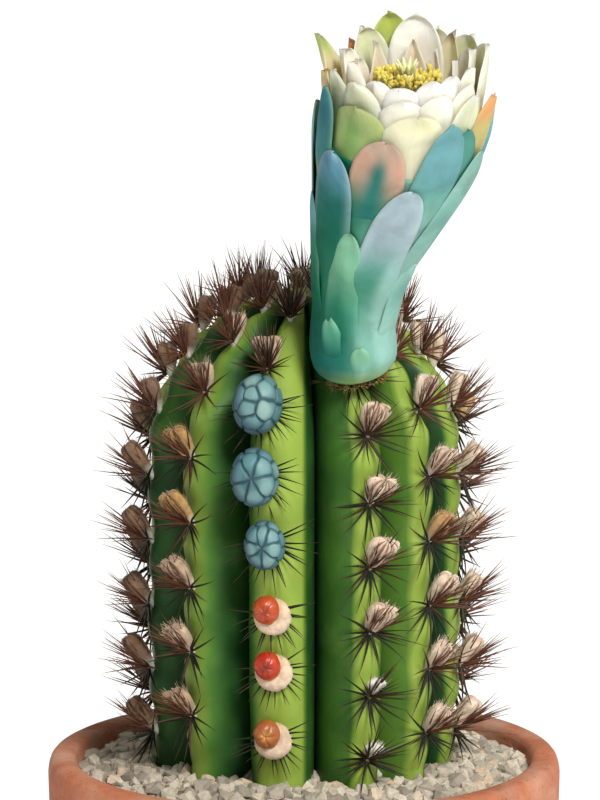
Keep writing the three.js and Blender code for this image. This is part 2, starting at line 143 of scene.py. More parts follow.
def smooth_noise(points, scale, seed=0.0):
    """Soft noise between about -1 and 1 at each point, with bumps about scale wide."""
    shift = Vector((seed * 17.3, seed * 5.1, seed * 9.7))
    return np.array([noise.noise(Vector(p) / scale + shift) for p in points])


def turns(count):
    """Even steps of a full turn, in radians."""
    return np.arange(count) * math.tau / count


def grid_faces(rows, columns, closed):
    """Quads over a grid of points stored row by row."""
    across = columns if closed else columns - 1
    return [
        (i * columns + j, i * columns + (j + 1) % columns,
         (i + 1) * columns + (j + 1) % columns, (i + 1) * columns + j)
        for i in range(rows - 1)
        for j in range(across)
    ]


def ring_faces(rows, columns):
    """Quads over a grid that closes both ways."""
    count = rows * columns
    return [tuple(i % count for i in face) for face in grid_faces(rows + 1, columns, True)]


def capped_faces(rows, columns):
    """Quads over a grid of closed rings, with a face over each end."""
    last = (rows - 1) * columns
    ends = [tuple(range(columns))[::-1], tuple(range(last, last + columns))]
    return grid_faces(rows, columns, True) + ends


def add_object(name, data):
    made = bpy.data.objects.new(name, data)
    bpy.context.scene.collection.objects.link(made)
    return made


def set_smooth(mesh, smooth):
    mesh.polygons.foreach_set("use_smooth", [smooth] * len(mesh.polygons))


class Shape:
    """Points, faces and values gathered for one mesh, in millimetres."""

    def __init__(self):
        self.points = []
        self.faces = []
        self.values = {}
        self.count = 0

    def add(self, points, faces, **values):
        points = np.asarray(points, float).reshape(-1, 3)
        self.points.append(points)
        self.faces += [tuple(i + self.count for i in face) for face in faces]
        for name, value in values.items():
            value = np.asarray(value, float)
            if value.ndim == 0 or value.shape[0] != len(points) or value.ndim == 1 and len(value) in (3, 4):
                value = np.broadcast_to(value, (len(points), *value.shape))
            self.values.setdefault(name, []).append(value)
        self.count += len(points)

    def object(self, name, material=None, recalculate=False):
        mesh = bpy.data.meshes.new(name)
        mesh.from_pydata((np.concatenate(self.points) * MM).tolist(), [], self.faces)
        for key, parts in self.values.items():
            write_values(mesh, key, np.concatenate(parts))
        if recalculate:
            turn_out(mesh)
        set_smooth(mesh, True)
        mesh.update()
        if material:
            mesh.materials.append(material)
        return add_object(name, mesh)


def write_values(mesh, name, values):
    """Stores one number, vector or colour for each vertex."""
    if values.ndim == 1:
        layer = mesh.attributes.new(name, "FLOAT", "POINT")
        layer.data.foreach_set("value", values.astype(np.float32))
    elif name == "paint":
        layer = mesh.attributes.new(name, "FLOAT_COLOR", "POINT")
        opaque = np.column_stack([values, np.ones(len(values))])
        layer.data.foreach_set("color", opaque.astype(np.float32).ravel())
    else:
        layer = mesh.attributes.new(name, "FLOAT_VECTOR", "POINT")
        layer.data.foreach_set("vector", values.astype(np.float32).ravel())


def turn_out(mesh, join_within=0.0):
    """Turns a mesh's faces outwards, after it joins points that are that close."""
    form = bmesh.new()
    form.from_mesh(mesh)
    if join_within:
        bmesh.ops.remove_doubles(form, verts=form.verts, dist=join_within)
    bmesh.ops.recalc_face_normals(form, faces=form.faces)
    form.to_mesh(mesh)
    form.free()


def dress(piece, node):
    """Says what a finished piece rides on, stands for and takes its finish from."""
    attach(piece, "root")
    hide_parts(node)


def add_node(tree, kind, values, settings):
    """A new node with its options set, and its sockets set or linked."""
    made = tree.nodes.new(kind)
    for key, value in settings.items():
        setattr(made, key, value)
    for key, value in (values or {}).items():
        socket = made.inputs[key]
        if isinstance(value, bpy.types.NodeSocket):
            tree.links.new(value, socket)
        else:
            socket.default_value = value
    return made


# Materials


class Finish:
    """A principled material with its nodes."""

    def __init__(self, name, roughness, **constants):
        self.material = bpy.data.materials.new(name)
        self.material.use_nodes = True
        self.tree = self.material.node_tree
        self.shader = self.tree.nodes["Principled BSDF"]
        self.set("Roughness", roughness)
        for key, value in constants.items():
            self.set(key.replace("_", " "), value)

    def set(self, name, value):
        self.shader.inputs[name].default_value = value

    def node(self, kind, values=None, **settings):
        return add_node(self.tree, kind, values, settings)

    def where(self):
        return self.node("ShaderNodeTexCoord").outputs["Object"]

    def stretched(self, vector, scale):
        return self.node("ShaderNodeMapping", {"Vector": vector, "Scale": scale}).outputs["Vector"]

    def noise(self, scale, detail=3.0, vector=None, distortion=0.0):
        values = {"Vector": vector or self.where(), "Scale": scale, "Detail": detail}
        values["Distortion"] = distortion
        return self.node("ShaderNodeTexNoise", values).outputs["Fac"]

    def attribute(self, name, output="Fac"):
        return self.node("ShaderNodeAttribute", attribute_name=name).outputs[output]

    def ramp(self, factor, stops):
        made = self.node("ShaderNodeValToRGB", {"Fac": factor})
        elements = made.color_ramp.elements
        while len(elements) < len(stops):
            elements.new(0.5)
        for element, (position, colour) in zip(elements, stops):
            element.position = position
            element.color = (*colour, 1)
        return made.outputs["Color"]

    def mixed(self, factor, first, second, mode="MIX"):
        values = {0: factor}
        for index, colour in ((6, first), (7, second)):
            values[index] = colour if isinstance(colour, bpy.types.NodeSocket) else (*colour, 1)
        return self.node("ShaderNodeMix", values, data_type="RGBA", blend_type=mode).outputs[2]

    def paint(self):
        return self.attribute("paint", "Color")

    def shaded(self, colour, share):
        """The colour times a grey of that share."""
        grey = self.node("ShaderNodeCombineColor", {0: share, 1: share, 2: share}).outputs[0]
        return self.mixed(1.0, colour, grey, "MULTIPLY")

    def maths(self, operation, first, second, clamp=False):
        values = {0: first, 1: second}
        return self.node("ShaderNodeMath", values, operation=operation, use_clamp=clamp).outputs["Value"]

    def mapped(self, value, low, high, to_low=0.0, to_high=1.0):
        values = {"Value": value, "From Min": low, "From Max": high}
        values.update({"To Min": to_low, "To Max": to_high})
        return self.node("ShaderNodeMapRange", values).outputs["Result"]

    def colour(self, socket):
        self.tree.links.new(socket, self.shader.inputs["Base Color"])

    def rough(self, socket):
        self.tree.links.new(socket, self.shader.inputs["Roughness"])

    def bump(self, height, distance, strength=1.0):
        """Adds relief of that depth in millimetres."""
        values = {"Height": height, "Distance": distance * MM, "Strength": strength}
        before = self.shader.inputs["Normal"].links
        if before:
            values["Normal"] = before[0].from_socket
        made = self.node("ShaderNodeBump", values)
        self.tree.links.new(made.outputs["Normal"], self.shader.inputs["Normal"])


def skin_finish(settings):
    """Waxy skin, yellow green on the crests and dark green in the furrows, mottled like a wash of paint."""
    finish = Finish("cactus skin", 0.5, Specular_IOR_Level=0.2)
    place = finish.where()
    # The attribute carries the crests' paler colour with painted light and painted shade.
    crest = finish.attribute("paleness_and_painted_light")
    drift = finish.mapped(finish.noise(90, 3), 0.3, 0.7, -0.09, 0.09)
    level = finish.maths("ADD", crest, drift, True)
    crest_colour = np.array(settings.crest_colour)
    furrow_colour = np.array(settings.furrow_colour)
    flank = blend_colours(furrow_colour, crest_colour, 0.34) * np.array([0.62, 1.0, 0.72])
    # Painted shade: the stop below the furrow colour darkens the furrows' depths; painted light: the stop
    # above the crest colour brightens the lit crests.
    shades = [(0.0, furrow_colour * 0.6), (0.1, furrow_colour), (0.36, flank)]
    shades += [(0.62, blend_colours(flank, crest_colour, 0.6)), (0.86, crest_colour)]
    shades += [(1.0, crest_colour * 1.12)]
    base = finish.ramp(level, shades)
    washed = finish.mapped(finish.noise(60, 4, finish.stretched(place, (1, 1, 0.3)), 0.6), 0.35, 0.7)
    base = finish.mixed(finish.maths("MULTIPLY", washed, 0.4), base, linear(190, 206, 120), "MULTIPLY")
    pale = finish.maths("MULTIPLY", finish.mapped(finish.noise(150, 5), 0.55, 0.75, 0.0, 0.3), crest)
    base = finish.mixed(pale, base, linear(176, 192, 104))
    finish.colour(base)
    finish.rough(finish.mapped(finish.noise(400, 4), 0.3, 0.7, 0.42, 0.62))
    finish.bump(finish.noise(260, 4, finish.stretched(place, (1, 1, 0.45))), 0.25, 0.5)
    finish.bump(finish.noise(2600, 3), 0.05, 0.6)
    return finish.material


def wool_finish():
    """Matted wool, painted from cream to tan by the mesh."""
    finish = Finish("areole wool", 0.95, Specular_IOR_Level=0.1, Sheen_Weight=0.25)
    finish.colour(finish.shaded(finish.paint(), finish.mapped(finish.noise(900, 4), 0.3, 0.7, 0.72, 1.12)))
    finish.bump(finish.noise(3200, 3), 0.12, 0.7)
    return finish.material


def spine_finish():
    """Horny spines that pale a little towards the tip."""
    finish = Finish("spines", 0.5, Specular_IOR_Level=0.25)
    pale = finish.mapped(finish.attribute("along"), 0.6, 1.0, 0.0, 0.16)
    base = finish.mixed(pale, finish.paint(), linear(150, 112, 84))
    dark = finish.mapped(finish.noise(1400, 3), 0.35, 0.65, 0.0, 0.4)
    finish.colour(finish.mixed(dark, base, linear(40, 26, 20)))
    finish.bump(finish.noise(5200, 2), 0.03, 0.5)
    return finish.material


def painted_finish(name, roughness, vein_depth, **constants):
    """Petal or scale skin: the mesh's paint with a watery mottle, and fine veins along it."""
    finish = Finish(name, roughness, **constants)
    mottle = finish.mapped(finish.noise(170, 4, None, 0.8), 0.3, 0.72, 0.8, 1.14)
    finish.colour(finish.shaded(finish.paint(), mottle))
    grain = finish.stretched(finish.node("ShaderNodeUVMap", uv_map="blade").outputs["UV"], (26, 1.6, 1))
    finish.bump(finish.noise(1.0, 3, grain), vein_depth, 0.6)
    finish.bump(finish.noise(2400, 3), 0.03, 0.4)
    finish.rough(finish.mapped(finish.noise(500, 3), 0.3, 0.7, roughness - 0.07, roughness + 0.09))
    return finish.material


def washed_finish(finish, patches, high, wash, tint, relief):
    """The mesh's paint with patches of a tint, and a relief of [scale, depth, strength]."""
    share = finish.mapped(patches, 0.35, high, 0.0, wash)
    finish.colour(finish.mixed(share, finish.paint(), tint))
    scale, depth, strength = relief
    finish.bump(finish.noise(scale, 3), depth, strength)
    return finish.material


def bud_finish():
    """Blue green bud scales with dark joints."""
    finish = Finish("blue bud", 0.5, Specular_IOR_Level=0.4)
    patches = finish.noise(420, 4, None, 0.5)
    return washed_finish(finish, patches, 0.7, 0.3, linear(84, 124, 128), (1500, 0.08, 0.5))


def young_bud_finish():
    """Glossy orange red bud tips."""
    finish = Finish("young bud", 0.36, Subsurface_Weight=0.12, Subsurface_Scale=0.0008)
    finish.set("Subsurface Radius", (1.0, 0.35, 0.15))
    return washed_finish(finish, finish.noise(520, 4), 0.7, 0.3, linear(196, 104, 40), (1300, 0.07, 0.5))


def pollen_finish():
    """Dusty yellow anthers."""
    finish = Finish("anthers", 0.85, Specular_IOR_Level=0.15)
    return washed_finish(finish, finish.noise(3600, 3), 0.65, 0.45, linear(214, 178, 66), (4200, 0.06, 0.8))


def clay_finish(settings):
    """Old fired clay with wheel lines, darker damp patches, and pale lime that creeps up from below."""
    finish = Finish("old clay", 0.9, Specular_IOR_Level=0.25)
    place = finish.where()
    clay = np.array(settings.clay_colour)
    broad = finish.mapped(finish.noise(38, 5, None, 0.6), 0.3, 0.7)
    base = finish.ramp(broad, [(0.0, clay * 0.72), (0.5, clay), (1.0, clay * 1.22)])
    fine = finish.mapped(finish.noise(700, 4), 0.35, 0.7, 0.0, 0.35)
    base = finish.mixed(fine, base, linear(148, 88, 62))
    height = finish.node("ShaderNodeSeparateXYZ", {"Vector": place}).outputs["Z"]
    low = finish.mapped(height, 0.046, 0.004, 0.0, 0.6)
    rim = finish.mapped(height, 0.06, 0.0695, 0.0, 0.35)
    creep = finish.mapped(finish.noise(85, 6, None, 0.4), 0.42, 0.66)
    bloom = finish.maths("MULTIPLY", creep, finish.maths("MAXIMUM", low, rim), True)
    base = finish.mixed(bloom, base, linear(226, 208, 190))
    specks = finish.mapped(finish.noise(1500, 2), 0.66, 0.72, 0.0, 0.5)
    base = finish.mixed(specks, base, linear(96, 52, 36))
    finish.colour(base)
    finish.rough(finish.mapped(bloom, 0.0, 1.0, 0.82, 0.97))
    finish.bump(finish.noise(1.0, 3, finish.stretched(place, (6, 6, 1300))), 0.22, 0.7)
    finish.bump(finish.noise(1100, 4), 0.14, 0.8)
    return finish.material


def soil_finish():
    finish = Finish("potting soil", 1.0, Specular_IOR_Level=0.1)
    crumbs = finish.mapped(finish.noise(520, 6), 0.3, 0.7)
    shades = [(0.0, linear(30, 20, 14)), (0.6, linear(70, 50, 36)), (1.0, linear(128, 104, 80))]
    finish.colour(finish.ramp(crumbs, shades))
    finish.bump(finish.noise(380, 6), 0.8, 1.0)
    return finish.material


def gravel_finish(settings):
    """Pale crushed stone: each stone a shade of its own, with dust and grain."""
    finish = Finish("crushed stone", 0.88, Specular_IOR_Level=0.3)
    stone = np.array(settings.stone_colour)
    shade = finish.attribute("shade")
    shades = [(0.0, stone * 0.5), (0.3, stone * 0.8), (0.55, stone), (0.8, stone * 1.18)]
    shades.append((1.0, linear(206, 178, 146)))
    base = finish.ramp(shade, shades)
    grain = finish.mapped(finish.noise(1800, 5), 0.35, 0.7, 0.0, 0.42)
    base = finish.mixed(grain, base, linear(120, 106, 92))
    finish.colour(base)
    finish.bump(finish.noise(1300, 5), 0.14, 0.8)
    return finish.material


# Patterns made with Geometry Nodes


class Tree:
    """A Geometry Nodes tree under construction."""

    def __init__(self, name, inputs):
        self.tree = bpy.data.node_groups.new(name, "GeometryNodeTree")
        self.sockets = {}
        for label, kind in [("Geometry", "NodeSocketGeometry"), *inputs]:
            made = self.tree.interface.new_socket(name=label, in_out="INPUT", socket_type=kind)
            self.sockets[label] = made.identifier
        self.tree.interface.new_socket(name="Geometry", in_out="OUTPUT", socket_type="NodeSocketGeometry")
        self.start = self.tree.nodes.new("NodeGroupInput").outputs
        self.end = self.tree.nodes.new("NodeGroupOutput").inputs

    def node(self, kind, values=None, **settings):
        return add_node(self.tree, kind, values, settings).outputs

    def maths(self, operation, first, second):
        return self.node("ShaderNodeMath", {0: first, 1: second}, operation=operation)[0]

    def named(self, name, kind="FLOAT"):
        return self.node("GeometryNodeInputNamedAttribute", {"Name": name}, data_type=kind)["Attribute"]

    def finish(self, instances):
        real = self.node("GeometryNodeRealizeInstances", {"Geometry": instances})["Geometry"]
        done = self.node("GeometryNodeSetMaterial", {"Geometry": real, "Material": self.start["Material"]})
        self.tree.links.new(done["Geometry"], self.end["Geometry"])
        return self


def bristle_tree():
    """Puts a tapered, slightly bent bristle on every point, along its way."""
    tree = Tree("bristles", [
        ("Segments", "NodeSocketInt"),
        ("Sides", "NodeSocketInt"),
        ("Bend", "NodeSocketFloat"),
        ("Taper", "NodeSocketFloat"),
        ("Seed", "NodeSocketInt"),
        ("Material", "NodeSocketMaterial"),
    ])
    line = tree.node("GeometryNodeCurvePrimitiveLine", {"End": (0, 0, 1)})["Curve"]
    line = tree.node("GeometryNodeResampleCurve", {"Curve": line, "Count": tree.start["Segments"]})["Curve"]
    share = tree.node("GeometryNodeSplineParameter")["Factor"]
    values = {"Geometry": line, "Name": "along", "Value": share}
    line = tree.node("GeometryNodeStoreNamedAttribute", values)["Geometry"]
    thinner = tree.maths("MULTIPLY", tree.maths("POWER", share, 1.3), tree.start["Taper"])
    scale = tree.maths("SUBTRACT", 1.0, thinner)
    ring = tree.node("GeometryNodeCurvePrimitiveCircle", {"Resolution": tree.start["Sides"], "Radius": 1.0})
    values = {"Curve": line, "Profile Curve": ring["Curve"], "Scale": scale, "Fill Caps": True}
    bristle = tree.node("GeometryNodeCurveToMesh", values)["Mesh"]
    sideways = tree.maths("MULTIPLY", tree.maths("POWER", tree.named("along"), 2.0), tree.start["Bend"])
    offset = tree.node("ShaderNodeCombineXYZ", {"X": sideways})["Vector"]
    bristle = tree.node("GeometryNodeSetPosition", {"Geometry": bristle, "Offset": offset})["Geometry"]
    any_turn = {"Max": math.tau, "Seed": tree.start["Seed"]}
    turn = tree.node("FunctionNodeRandomValue", any_turn, data_type="FLOAT")
    spin = tree.node("FunctionNodeAxisAngleToRotation", {"Axis": (0, 0, 1), "Angle": turn[1]})["Rotation"]
    way = tree.named("way", "FLOAT_VECTOR")
    facing = tree.node("FunctionNodeAlignRotationToVector", {"Vector": way}, axis="Z")["Rotation"]
    values = {"Rotation": facing, "Rotate By": spin}
    rotation = tree.node("FunctionNodeRotateRotation", values, rotation_space="LOCAL")["Rotation"]
    thickness = tree.named("thickness")
    size = tree.node("ShaderNodeCombineXYZ", {"X": thickness, "Y": thickness, "Z": tree.named("length")})
    values = {"Points": tree.start["Geometry"], "Instance": bristle, "Rotation": rotation}
    values["Scale"] = size["Vector"]
    return tree.finish(tree.node("GeometryNodeInstanceOnPoints", values)["Instances"])


def gravel_tree():
    """Scatters angular stones of a few shapes over a bed, none closer than its spacing."""
    tree = Tree("gravel", [
        ("Spacing", "NodeSocketFloat"),
        ("Stone Size", "NodeSocketFloat"),
        ("Seed", "NodeSocketInt"),
        ("Material", "NodeSocketMaterial"),
    ])
    joined = tree.tree.nodes.new("GeometryNodeJoinGeometry")
    for variant in range(7):
        values = {"Min": (-1, -1, -0.8), "Max": (1, 1, 0.8), "Seed": variant + 3}
        scatter = tree.node("FunctionNodeRandomValue", values, data_type="FLOAT_VECTOR")[0]
        direction = tree.node("ShaderNodeVectorMath", {0: scatter}, operation="NORMALIZE")["Vector"]
        lumpy = tree.node("ShaderNodeVectorMath", {0: direction, 1: scatter}, operation="ADD")["Vector"]
        half = tree.node("ShaderNodeVectorMath", {0: lumpy, "Scale": 0.5}, operation="SCALE")["Vector"]
        cloud = tree.node("GeometryNodePoints", {"Count": 17, "Position": half})["Geometry"]
        hull = tree.node("GeometryNodeConvexHull", {"Geometry": cloud})["Convex Hull"]
        one = tree.node("GeometryNodeGeometryToInstance", {"Geometry": hull})["Instances"]
        tree.tree.links.new(one, joined.inputs["Geometry"])
    values = {"Mesh": tree.start["Geometry"], "Distance Min": tree.start["Spacing"]}
    values.update({"Density Max": 4e6, "Seed": tree.start["Seed"]})
    spread = tree.node("GeometryNodeDistributePointsOnFaces", values, distribute_method="POISSON")["Points"]
    any_turn = {"Max": (math.tau,) * 3, "Seed": 8}
    turn = tree.node("FunctionNodeRandomValue", any_turn, data_type="FLOAT_VECTOR")[0]
    rotation = tree.node("FunctionNodeEulerToRotation", {"Euler": turn})["Rotation"]
    grow = tree.node("FunctionNodeRandomValue", {"Min": 0.62, "Max": 1.25, "Seed": 4}, data_type="FLOAT")[1]
    scale = tree.maths("MULTIPLY", grow, tree.start["Stone Size"])
    values = {"Points": spread, "Instance": joined.outputs["Geometry"], "Pick Instance": True}
    values.update({"Rotation": rotation, "Scale": scale})
    stones = tree.node("GeometryNodeInstanceOnPoints", values)["Instances"]
    shade = tree.node("FunctionNodeRandomValue", {"Seed": 12}, data_type="FLOAT")[1]
    values = {"Geometry": stones, "Name": "shade", "Value": shade}
    return tree.finish(tree.node("GeometryNodeStoreNamedAttribute", values, domain="INSTANCE")["Geometry"])


def grown(host, name, tree, material, **inputs):
    """Runs a tree on a host mesh and keeps the result as a plain mesh, without the host."""
    modifier = host.modifiers.new("grow", "NODES")
    modifier.node_group = tree.tree
    modifier[tree.sockets["Material"]] = material
    for label, value in inputs.items():
        modifier[tree.sockets[label.replace("_", " ")]] = value
    evaluated = host.evaluated_get(bpy.context.evaluated_depsgraph_get())
    mesh = bpy.data.meshes.new_from_object(evaluated)
    mesh.name = name
    for spare in ("way", "length", "thickness"):
        if spare in mesh.attributes:
            mesh.attributes.remove(mesh.attributes[spare])
    host_mesh = host.data
    bpy.data.objects.remove(host)
    bpy.data.meshes.remove(host_mesh)
    set_smooth(mesh, True)
    return add_object(name, mesh)


def joined_pieces(pieces, name):
    """One object out of several, under a new name."""
    bpy.ops.object.select_all(action="DESELECT")
    for piece in pieces:
        piece.select_set(True)
    bpy.context.view_layer.objects.active = pieces[0]
    bpy.ops.object.join()
    pieces[0].name = name
    pieces[0].data.name = name
    return pieces[0]


class Bristles:
    """Bristles gathered for one piece: where each starts, its way, length, thickness and colour."""

    def __init__(self):
        self.rows = {"start": [], "way": [], "length": [], "thickness": [], "paint": []}

    def add(self, start, way, length, thickness, paint):
        start = np.asarray(start, float).reshape(-1, 3)
        count = len(start)
        if not count:
            return
        self.rows["start"].append(start)
        self.rows["way"].append(np.broadcast_to(unit(np.asarray(way, float)), (count, 3)))
        self.rows["length"].append(np.broadcast_to(np.asarray(length, float) * MM, (count,)))
        self.rows["thickness"].append(np.broadcast_to(np.asarray(thickness, float) * MM, (count,)))
        self.rows["paint"].append(np.broadcast_to(np.asarray(paint, float), (count, 3)))

    def grow(self, name, tree, material, **inputs):
        host = Shape()
        rows = {key: np.concatenate(parts) for key, parts in self.rows.items()}
        start = rows.pop("start")
        host.add(start, [], **rows)
        return grown(host.object("host"), name, tree, material, **inputs)


# The plant's shape, from the same rules as the CAD


def meridian(h):
    """Radius and height of a rib's crest and furrow, and the way out, at a distance along the crest."""
    up = np.maximum(h, 0)
    turn = np.clip((up - STRAIGHT) / DOME_RUN, 0, 1) * math.pi / 2
    narrowing = np.maximum(np.cos(turn), 0) ** 1.15
    narrowing = narrowing * (1 - FOOT_TAPER * np.maximum(0, 1 - up / 20) ** 2)
    crest_radius = CREST_RADIUS * narrowing
    dimple = DIMPLE * np.exp(-((crest_radius / 3) ** 2))
    crest_z = FOOT_Z + np.minimum(h, STRAIGHT) + DOME_HEIGHT * np.sin(turn) - dimple
    furrow_z = crest_z - DOME_SAG * np.sin(2 * turn)
    return {
        "crest": (crest_radius, crest_z),
        "furrow": (FURROW_RADIUS * narrowing, furrow_z),
        "out": (np.cos(turn), np.sin(turn)),
    }


def areole_heights(first):
    heights = []
    h = first
    while h < LAST_AREOLE:
        heights.append(h)
        h += AREOLE_PITCH * (1 - 0.5 * max(0, (h - STRAIGHT) / DOME_RUN))
    return heights


class Rib:
    """A rib: its bearing, how far it reaches to each side, and its areoles."""

    def __init__(self, index):
        bearings = RIB_BEARINGS
        count = len(bearings)
        before = bearings[index - 1] - (360 if index == 0 else 0)
        after = bearings[(index + 1) % count] + (360 if index == count - 1 else 0)
        self.index = index
        self.bearing = math.radians(bearings[index])
        self.to_left = math.radians(bearings[index] - before) / 2
        self.to_right = math.radians(after - bearings[index]) / 2
        self.areoles = areole_heights(FIRST_AREOLES[index])

    def swelling(self, h):
        """How far the crest swells out between areoles, from -1 to 1."""
        places = np.array([self.areoles[0] - AREOLE_PITCH, *self.areoles, TIP + 6])
        fraction = np.interp(h, places, np.arange(len(places)))
        return np.cos(2 * math.pi * (fraction - 0.66)) * smoothstep(-3, 4, h) * smoothstep(TIP, TIP - 14, h)


RIBS = [Rib(index) for index in range(len(RIB_BEARINGS))]


class Areole:
    """An areole's place, with the ways out of the stem, up its rib and sideways."""

    def __init__(self, rib, number):
        h = rib.areoles[number]
        line = meridian(h)
        self.rib = rib
        self.number = number
        self.crowding = max(0.0, (h - STRAIGHT) / DOME_RUN)
        self.place = at_bearing(rib.bearing, *line["crest"])
        self.out = at_bearing(rib.bearing, *line["out"])
        self.side = np.array([math.cos(rib.bearing), math.sin(rib.bearing), 0.0])
        self.up = -np.cross(self.side, self.out)
        if self.up[2] < 0:
            self.up = -self.up
        aside, rise = SHIFTS.get((rib.index, number), (0.0, 0.0))
        self.place = self.place + aside * self.side + rise * self.up - 0.11 * aside**2 * self.out
        self.under_flower = rib.index == FLOWER_RIB and number == FLOWER_AREOLE
        self.under_bud = rib.index == BUD_RIB and number < BUD_COUNT
        self.white = rib.index == FLOWER_RIB and number < WHITE_AREOLES

    def way(self, around, rise):
        """A direction that far off the skin, turned from up the rib towards its right."""
        around, rise = np.broadcast_arrays(around, rise)
        flat = self.up * np.cos(around)[..., None] + self.side * np.sin(around)[..., None]
        return flat * np.cos(rise)[..., None] + self.out * np.sin(rise)[..., None]


AREOLES = [Areole(rib, number) for rib in RIBS for number in range(len(rib.areoles))]


def rib_skin(rib, across, h):
    """Points of a rib's skin, from its left furrow at -1 to its right one at 1."""
    line = meridian(h)
    fullness = (1 - np.abs(across) ** 2.3) ** 0.72
    radius = line["furrow"][0] + (line["crest"][0] - line["furrow"][0]) * fullness
    z = line["furrow"][1] + (line["crest"][1] - line["furrow"][1]) * fullness
    swell = 0.5 * rib.swelling(h) * fullness**3
    bearing = rib.bearing + across * np.where(across < 0, rib.to_left, rib.to_right)
    return at_bearing(bearing, radius + swell * line["out"][0], z + swell * line["out"][1]), fullness


# The flower's axis and outline


def bezier(share):
    share = np.asarray(share, float)[..., None]
    rest = 1 - share
    first, second, third, fourth = FLOWER_CORNERS
    return rest**3 * first + 3 * rest**2 * share * second + 3 * rest * share**2 * third + share**3 * fourth


def flower_corners():
    foot = next(areole for areole in AREOLES if areole.under_flower)
    base = foot.place + 0.6 * foot.out - 1.2 * foot.up
    mouth = base + np.array(FLOWER_RUN)
    first_handle = base + unit(np.array(BASE_LEAN)) * BASE_REACH
    return base, first_handle, mouth - unit(np.array(MOUTH_LEAN)) * MOUTH_REACH, mouth


FLOWER_CORNERS = flower_corners()
AXIS_SHARES = np.linspace(0, 1, 401)
AXIS_POINTS = bezier(AXIS_SHARES)
AXIS_LENGTHS = np.concatenate([[0], np.cumsum(np.linalg.norm(np.diff(AXIS_POINTS, axis=0), axis=1))])


def axis_frame(along):
    """The axis' centre, its way, and the ways to the front and the right, at distances from its base."""
    along = np.asarray(along, float)
    share = np.clip(along / MOUTH, 0, 1)
    curve = np.interp(share * AXIS_LENGTHS[-1], AXIS_LENGTHS, AXIS_SHARES)
    step = 1e-3
    way = unit(bezier(np.clip(curve + step, 0, 1)) - bezier(np.clip(curve - step, 0, 1)))
    centre = bezier(curve) + way * (along - share * MOUTH)[..., None]
    front = unit(np.array([0.0, -1.0, 0.0]) + way * way[..., 1:2])
    right = np.cross(way, front)
    return centre, way, front, right


def flower_point(along, bearing, radius):
    along, bearing, radius = np.broadcast_arrays(along, bearing, radius)
    centre, _, front, right = axis_frame(along)
    across = front * np.cos(bearing)[..., None] + right * np.sin(bearing)[..., None]
    return centre + across * radius[..., None]


def flower_radius(along):
    rounded = 1 - np.exp(-(np.maximum(along, 0) + 0.25) / 1.5)
    return TUBE_RADIUS * rounded + TUBE_FLARE * smoothstep(FLARE_START, FLARE_END, along)


def inside_flower(points, clearance):
    """Which points lie in the flower's tube, or within a clearance of it."""
    along = np.linspace(0, MOUTH, 56)
    centre = axis_frame(along)[0]
    apart = np.linalg.norm(points[:, None] - centre[None], axis=2)
    return (apart < flower_radius(along)[None] + clearance).any(axis=1)


# The pot, its gravel and the stem


def filleted(corners, steps=5):
    """A profile of [radius, height, rounding] corners, each rounded off by an arc."""
    profile = []
    count = len(corners)
    for i, (radius, height, rounding) in enumerate(corners):
        here = np.array([radius, height])
        if not rounding:
            profile.append(here)
            continue
        before = unit(np.array(corners[i - 1][:2]) - here)
        after = unit(np.array(corners[(i + 1) % count][:2]) - here)
        start, end = here + before * rounding, here + after * rounding
        for share in np.linspace(0, 1, steps):
            profile.append((1 - share) ** 2 * start + 2 * share * (1 - share) * here + share**2 * end)
    return np.array(profile)


def make_pot(settings):
    rim = settings.rim_radius / MM
    height = settings.height / MM
    under_rim = height - POT_RIM_HEIGHT
    corners = [
        (DRAIN_RADIUS, 0.0, 0.6),
        (POT_FOOT_RADIUS, 0.0, 1.4),
        (POT_NECK_RADIUS, under_rim - 0.2, 0.8),
        (rim - 1.1, under_rim, 0.9),
        (rim - 0.35, under_rim + 2.4, 0.8),
        (rim, height - 2.6, 0.8),
        (rim - 0.5, height, 1.5),
        (MOUTH_RADIUS, height, 1.2),
        (FLOOR_RADIUS, FLOOR_THICKNESS, 1.5),
        (DRAIN_RADIUS, FLOOR_THICKNESS, 0.6),
    ]
    profile = densified(filleted(corners), 2.2)
    segments = 144
    turn = turns(segments)
    points = np.stack([at_bearing(turn, radius, z) for radius, z in profile])
    wobble = smooth_noise(points.reshape(-1, 3), 24.0, 3.0).reshape(points.shape[:2])
    radial = np.stack([np.sin(turn), -np.cos(turn), np.zeros(segments)], -1)
    fade = smoothstep(0.0, 4.0, points[..., 2]) * (np.hypot(points[..., 0], points[..., 1]) > 6)
    points = points - radial[None] * ((0.12 + 0.12 * wobble) * fade)[..., None]
    shape = Shape()
    shape.add(points, ring_faces(len(points), segments))
    pot = shape.object("clay_pot", clay_finish(settings), recalculate=True)
    dress(pot, "pot")


def densified(profile, longest):
    """A closed profile with points added so that none of its steps is longer than that."""
    done = []
    for start, end in zip(profile, np.roll(profile, -1, axis=0)):
        parts = max(1, math.ceil(np.linalg.norm(end - start) / longest))
        done += [start + (end - start) * i / parts for i in range(parts)]
    return np.array(done)


def grit_height(radius):
    return GRIT_TOP - GRIT_FALL * smoothstep(CREST_RADIUS, MOUTH_RADIUS, radius)


def stem_radius(bearing):
    """The stem's outline at the gravel, at bearings in radians."""
    across = np.linspace(-1, 1, 25)
    points = np.concatenate([rib_skin(rib, across, np.full(25, 0.0))[0] for rib in RIBS])
    bearings = np.arctan2(points[:, 0], -points[:, 1])
    order = np.argsort(bearings)
    return np.interp(bearing, bearings[order], np.hypot(points[order, 0], points[order, 1]), period=math.tau)


def gravel_bed(rows, segments, gap, lower):
    """Rings of points from the stem out to the pot's wall."""
    turn = turns(segments)
    turn = np.where(turn > math.pi, turn - math.tau, turn)
    inner = stem_radius(turn) + gap
    shares = np.linspace(0, 1, rows)[:, None]
    radius = inner[None] + (GRIT_RADIUS - inner[None]) * shares
    return at_bearing(np.broadcast_to(turn, radius.shape), radius, grit_height(radius) - lower)


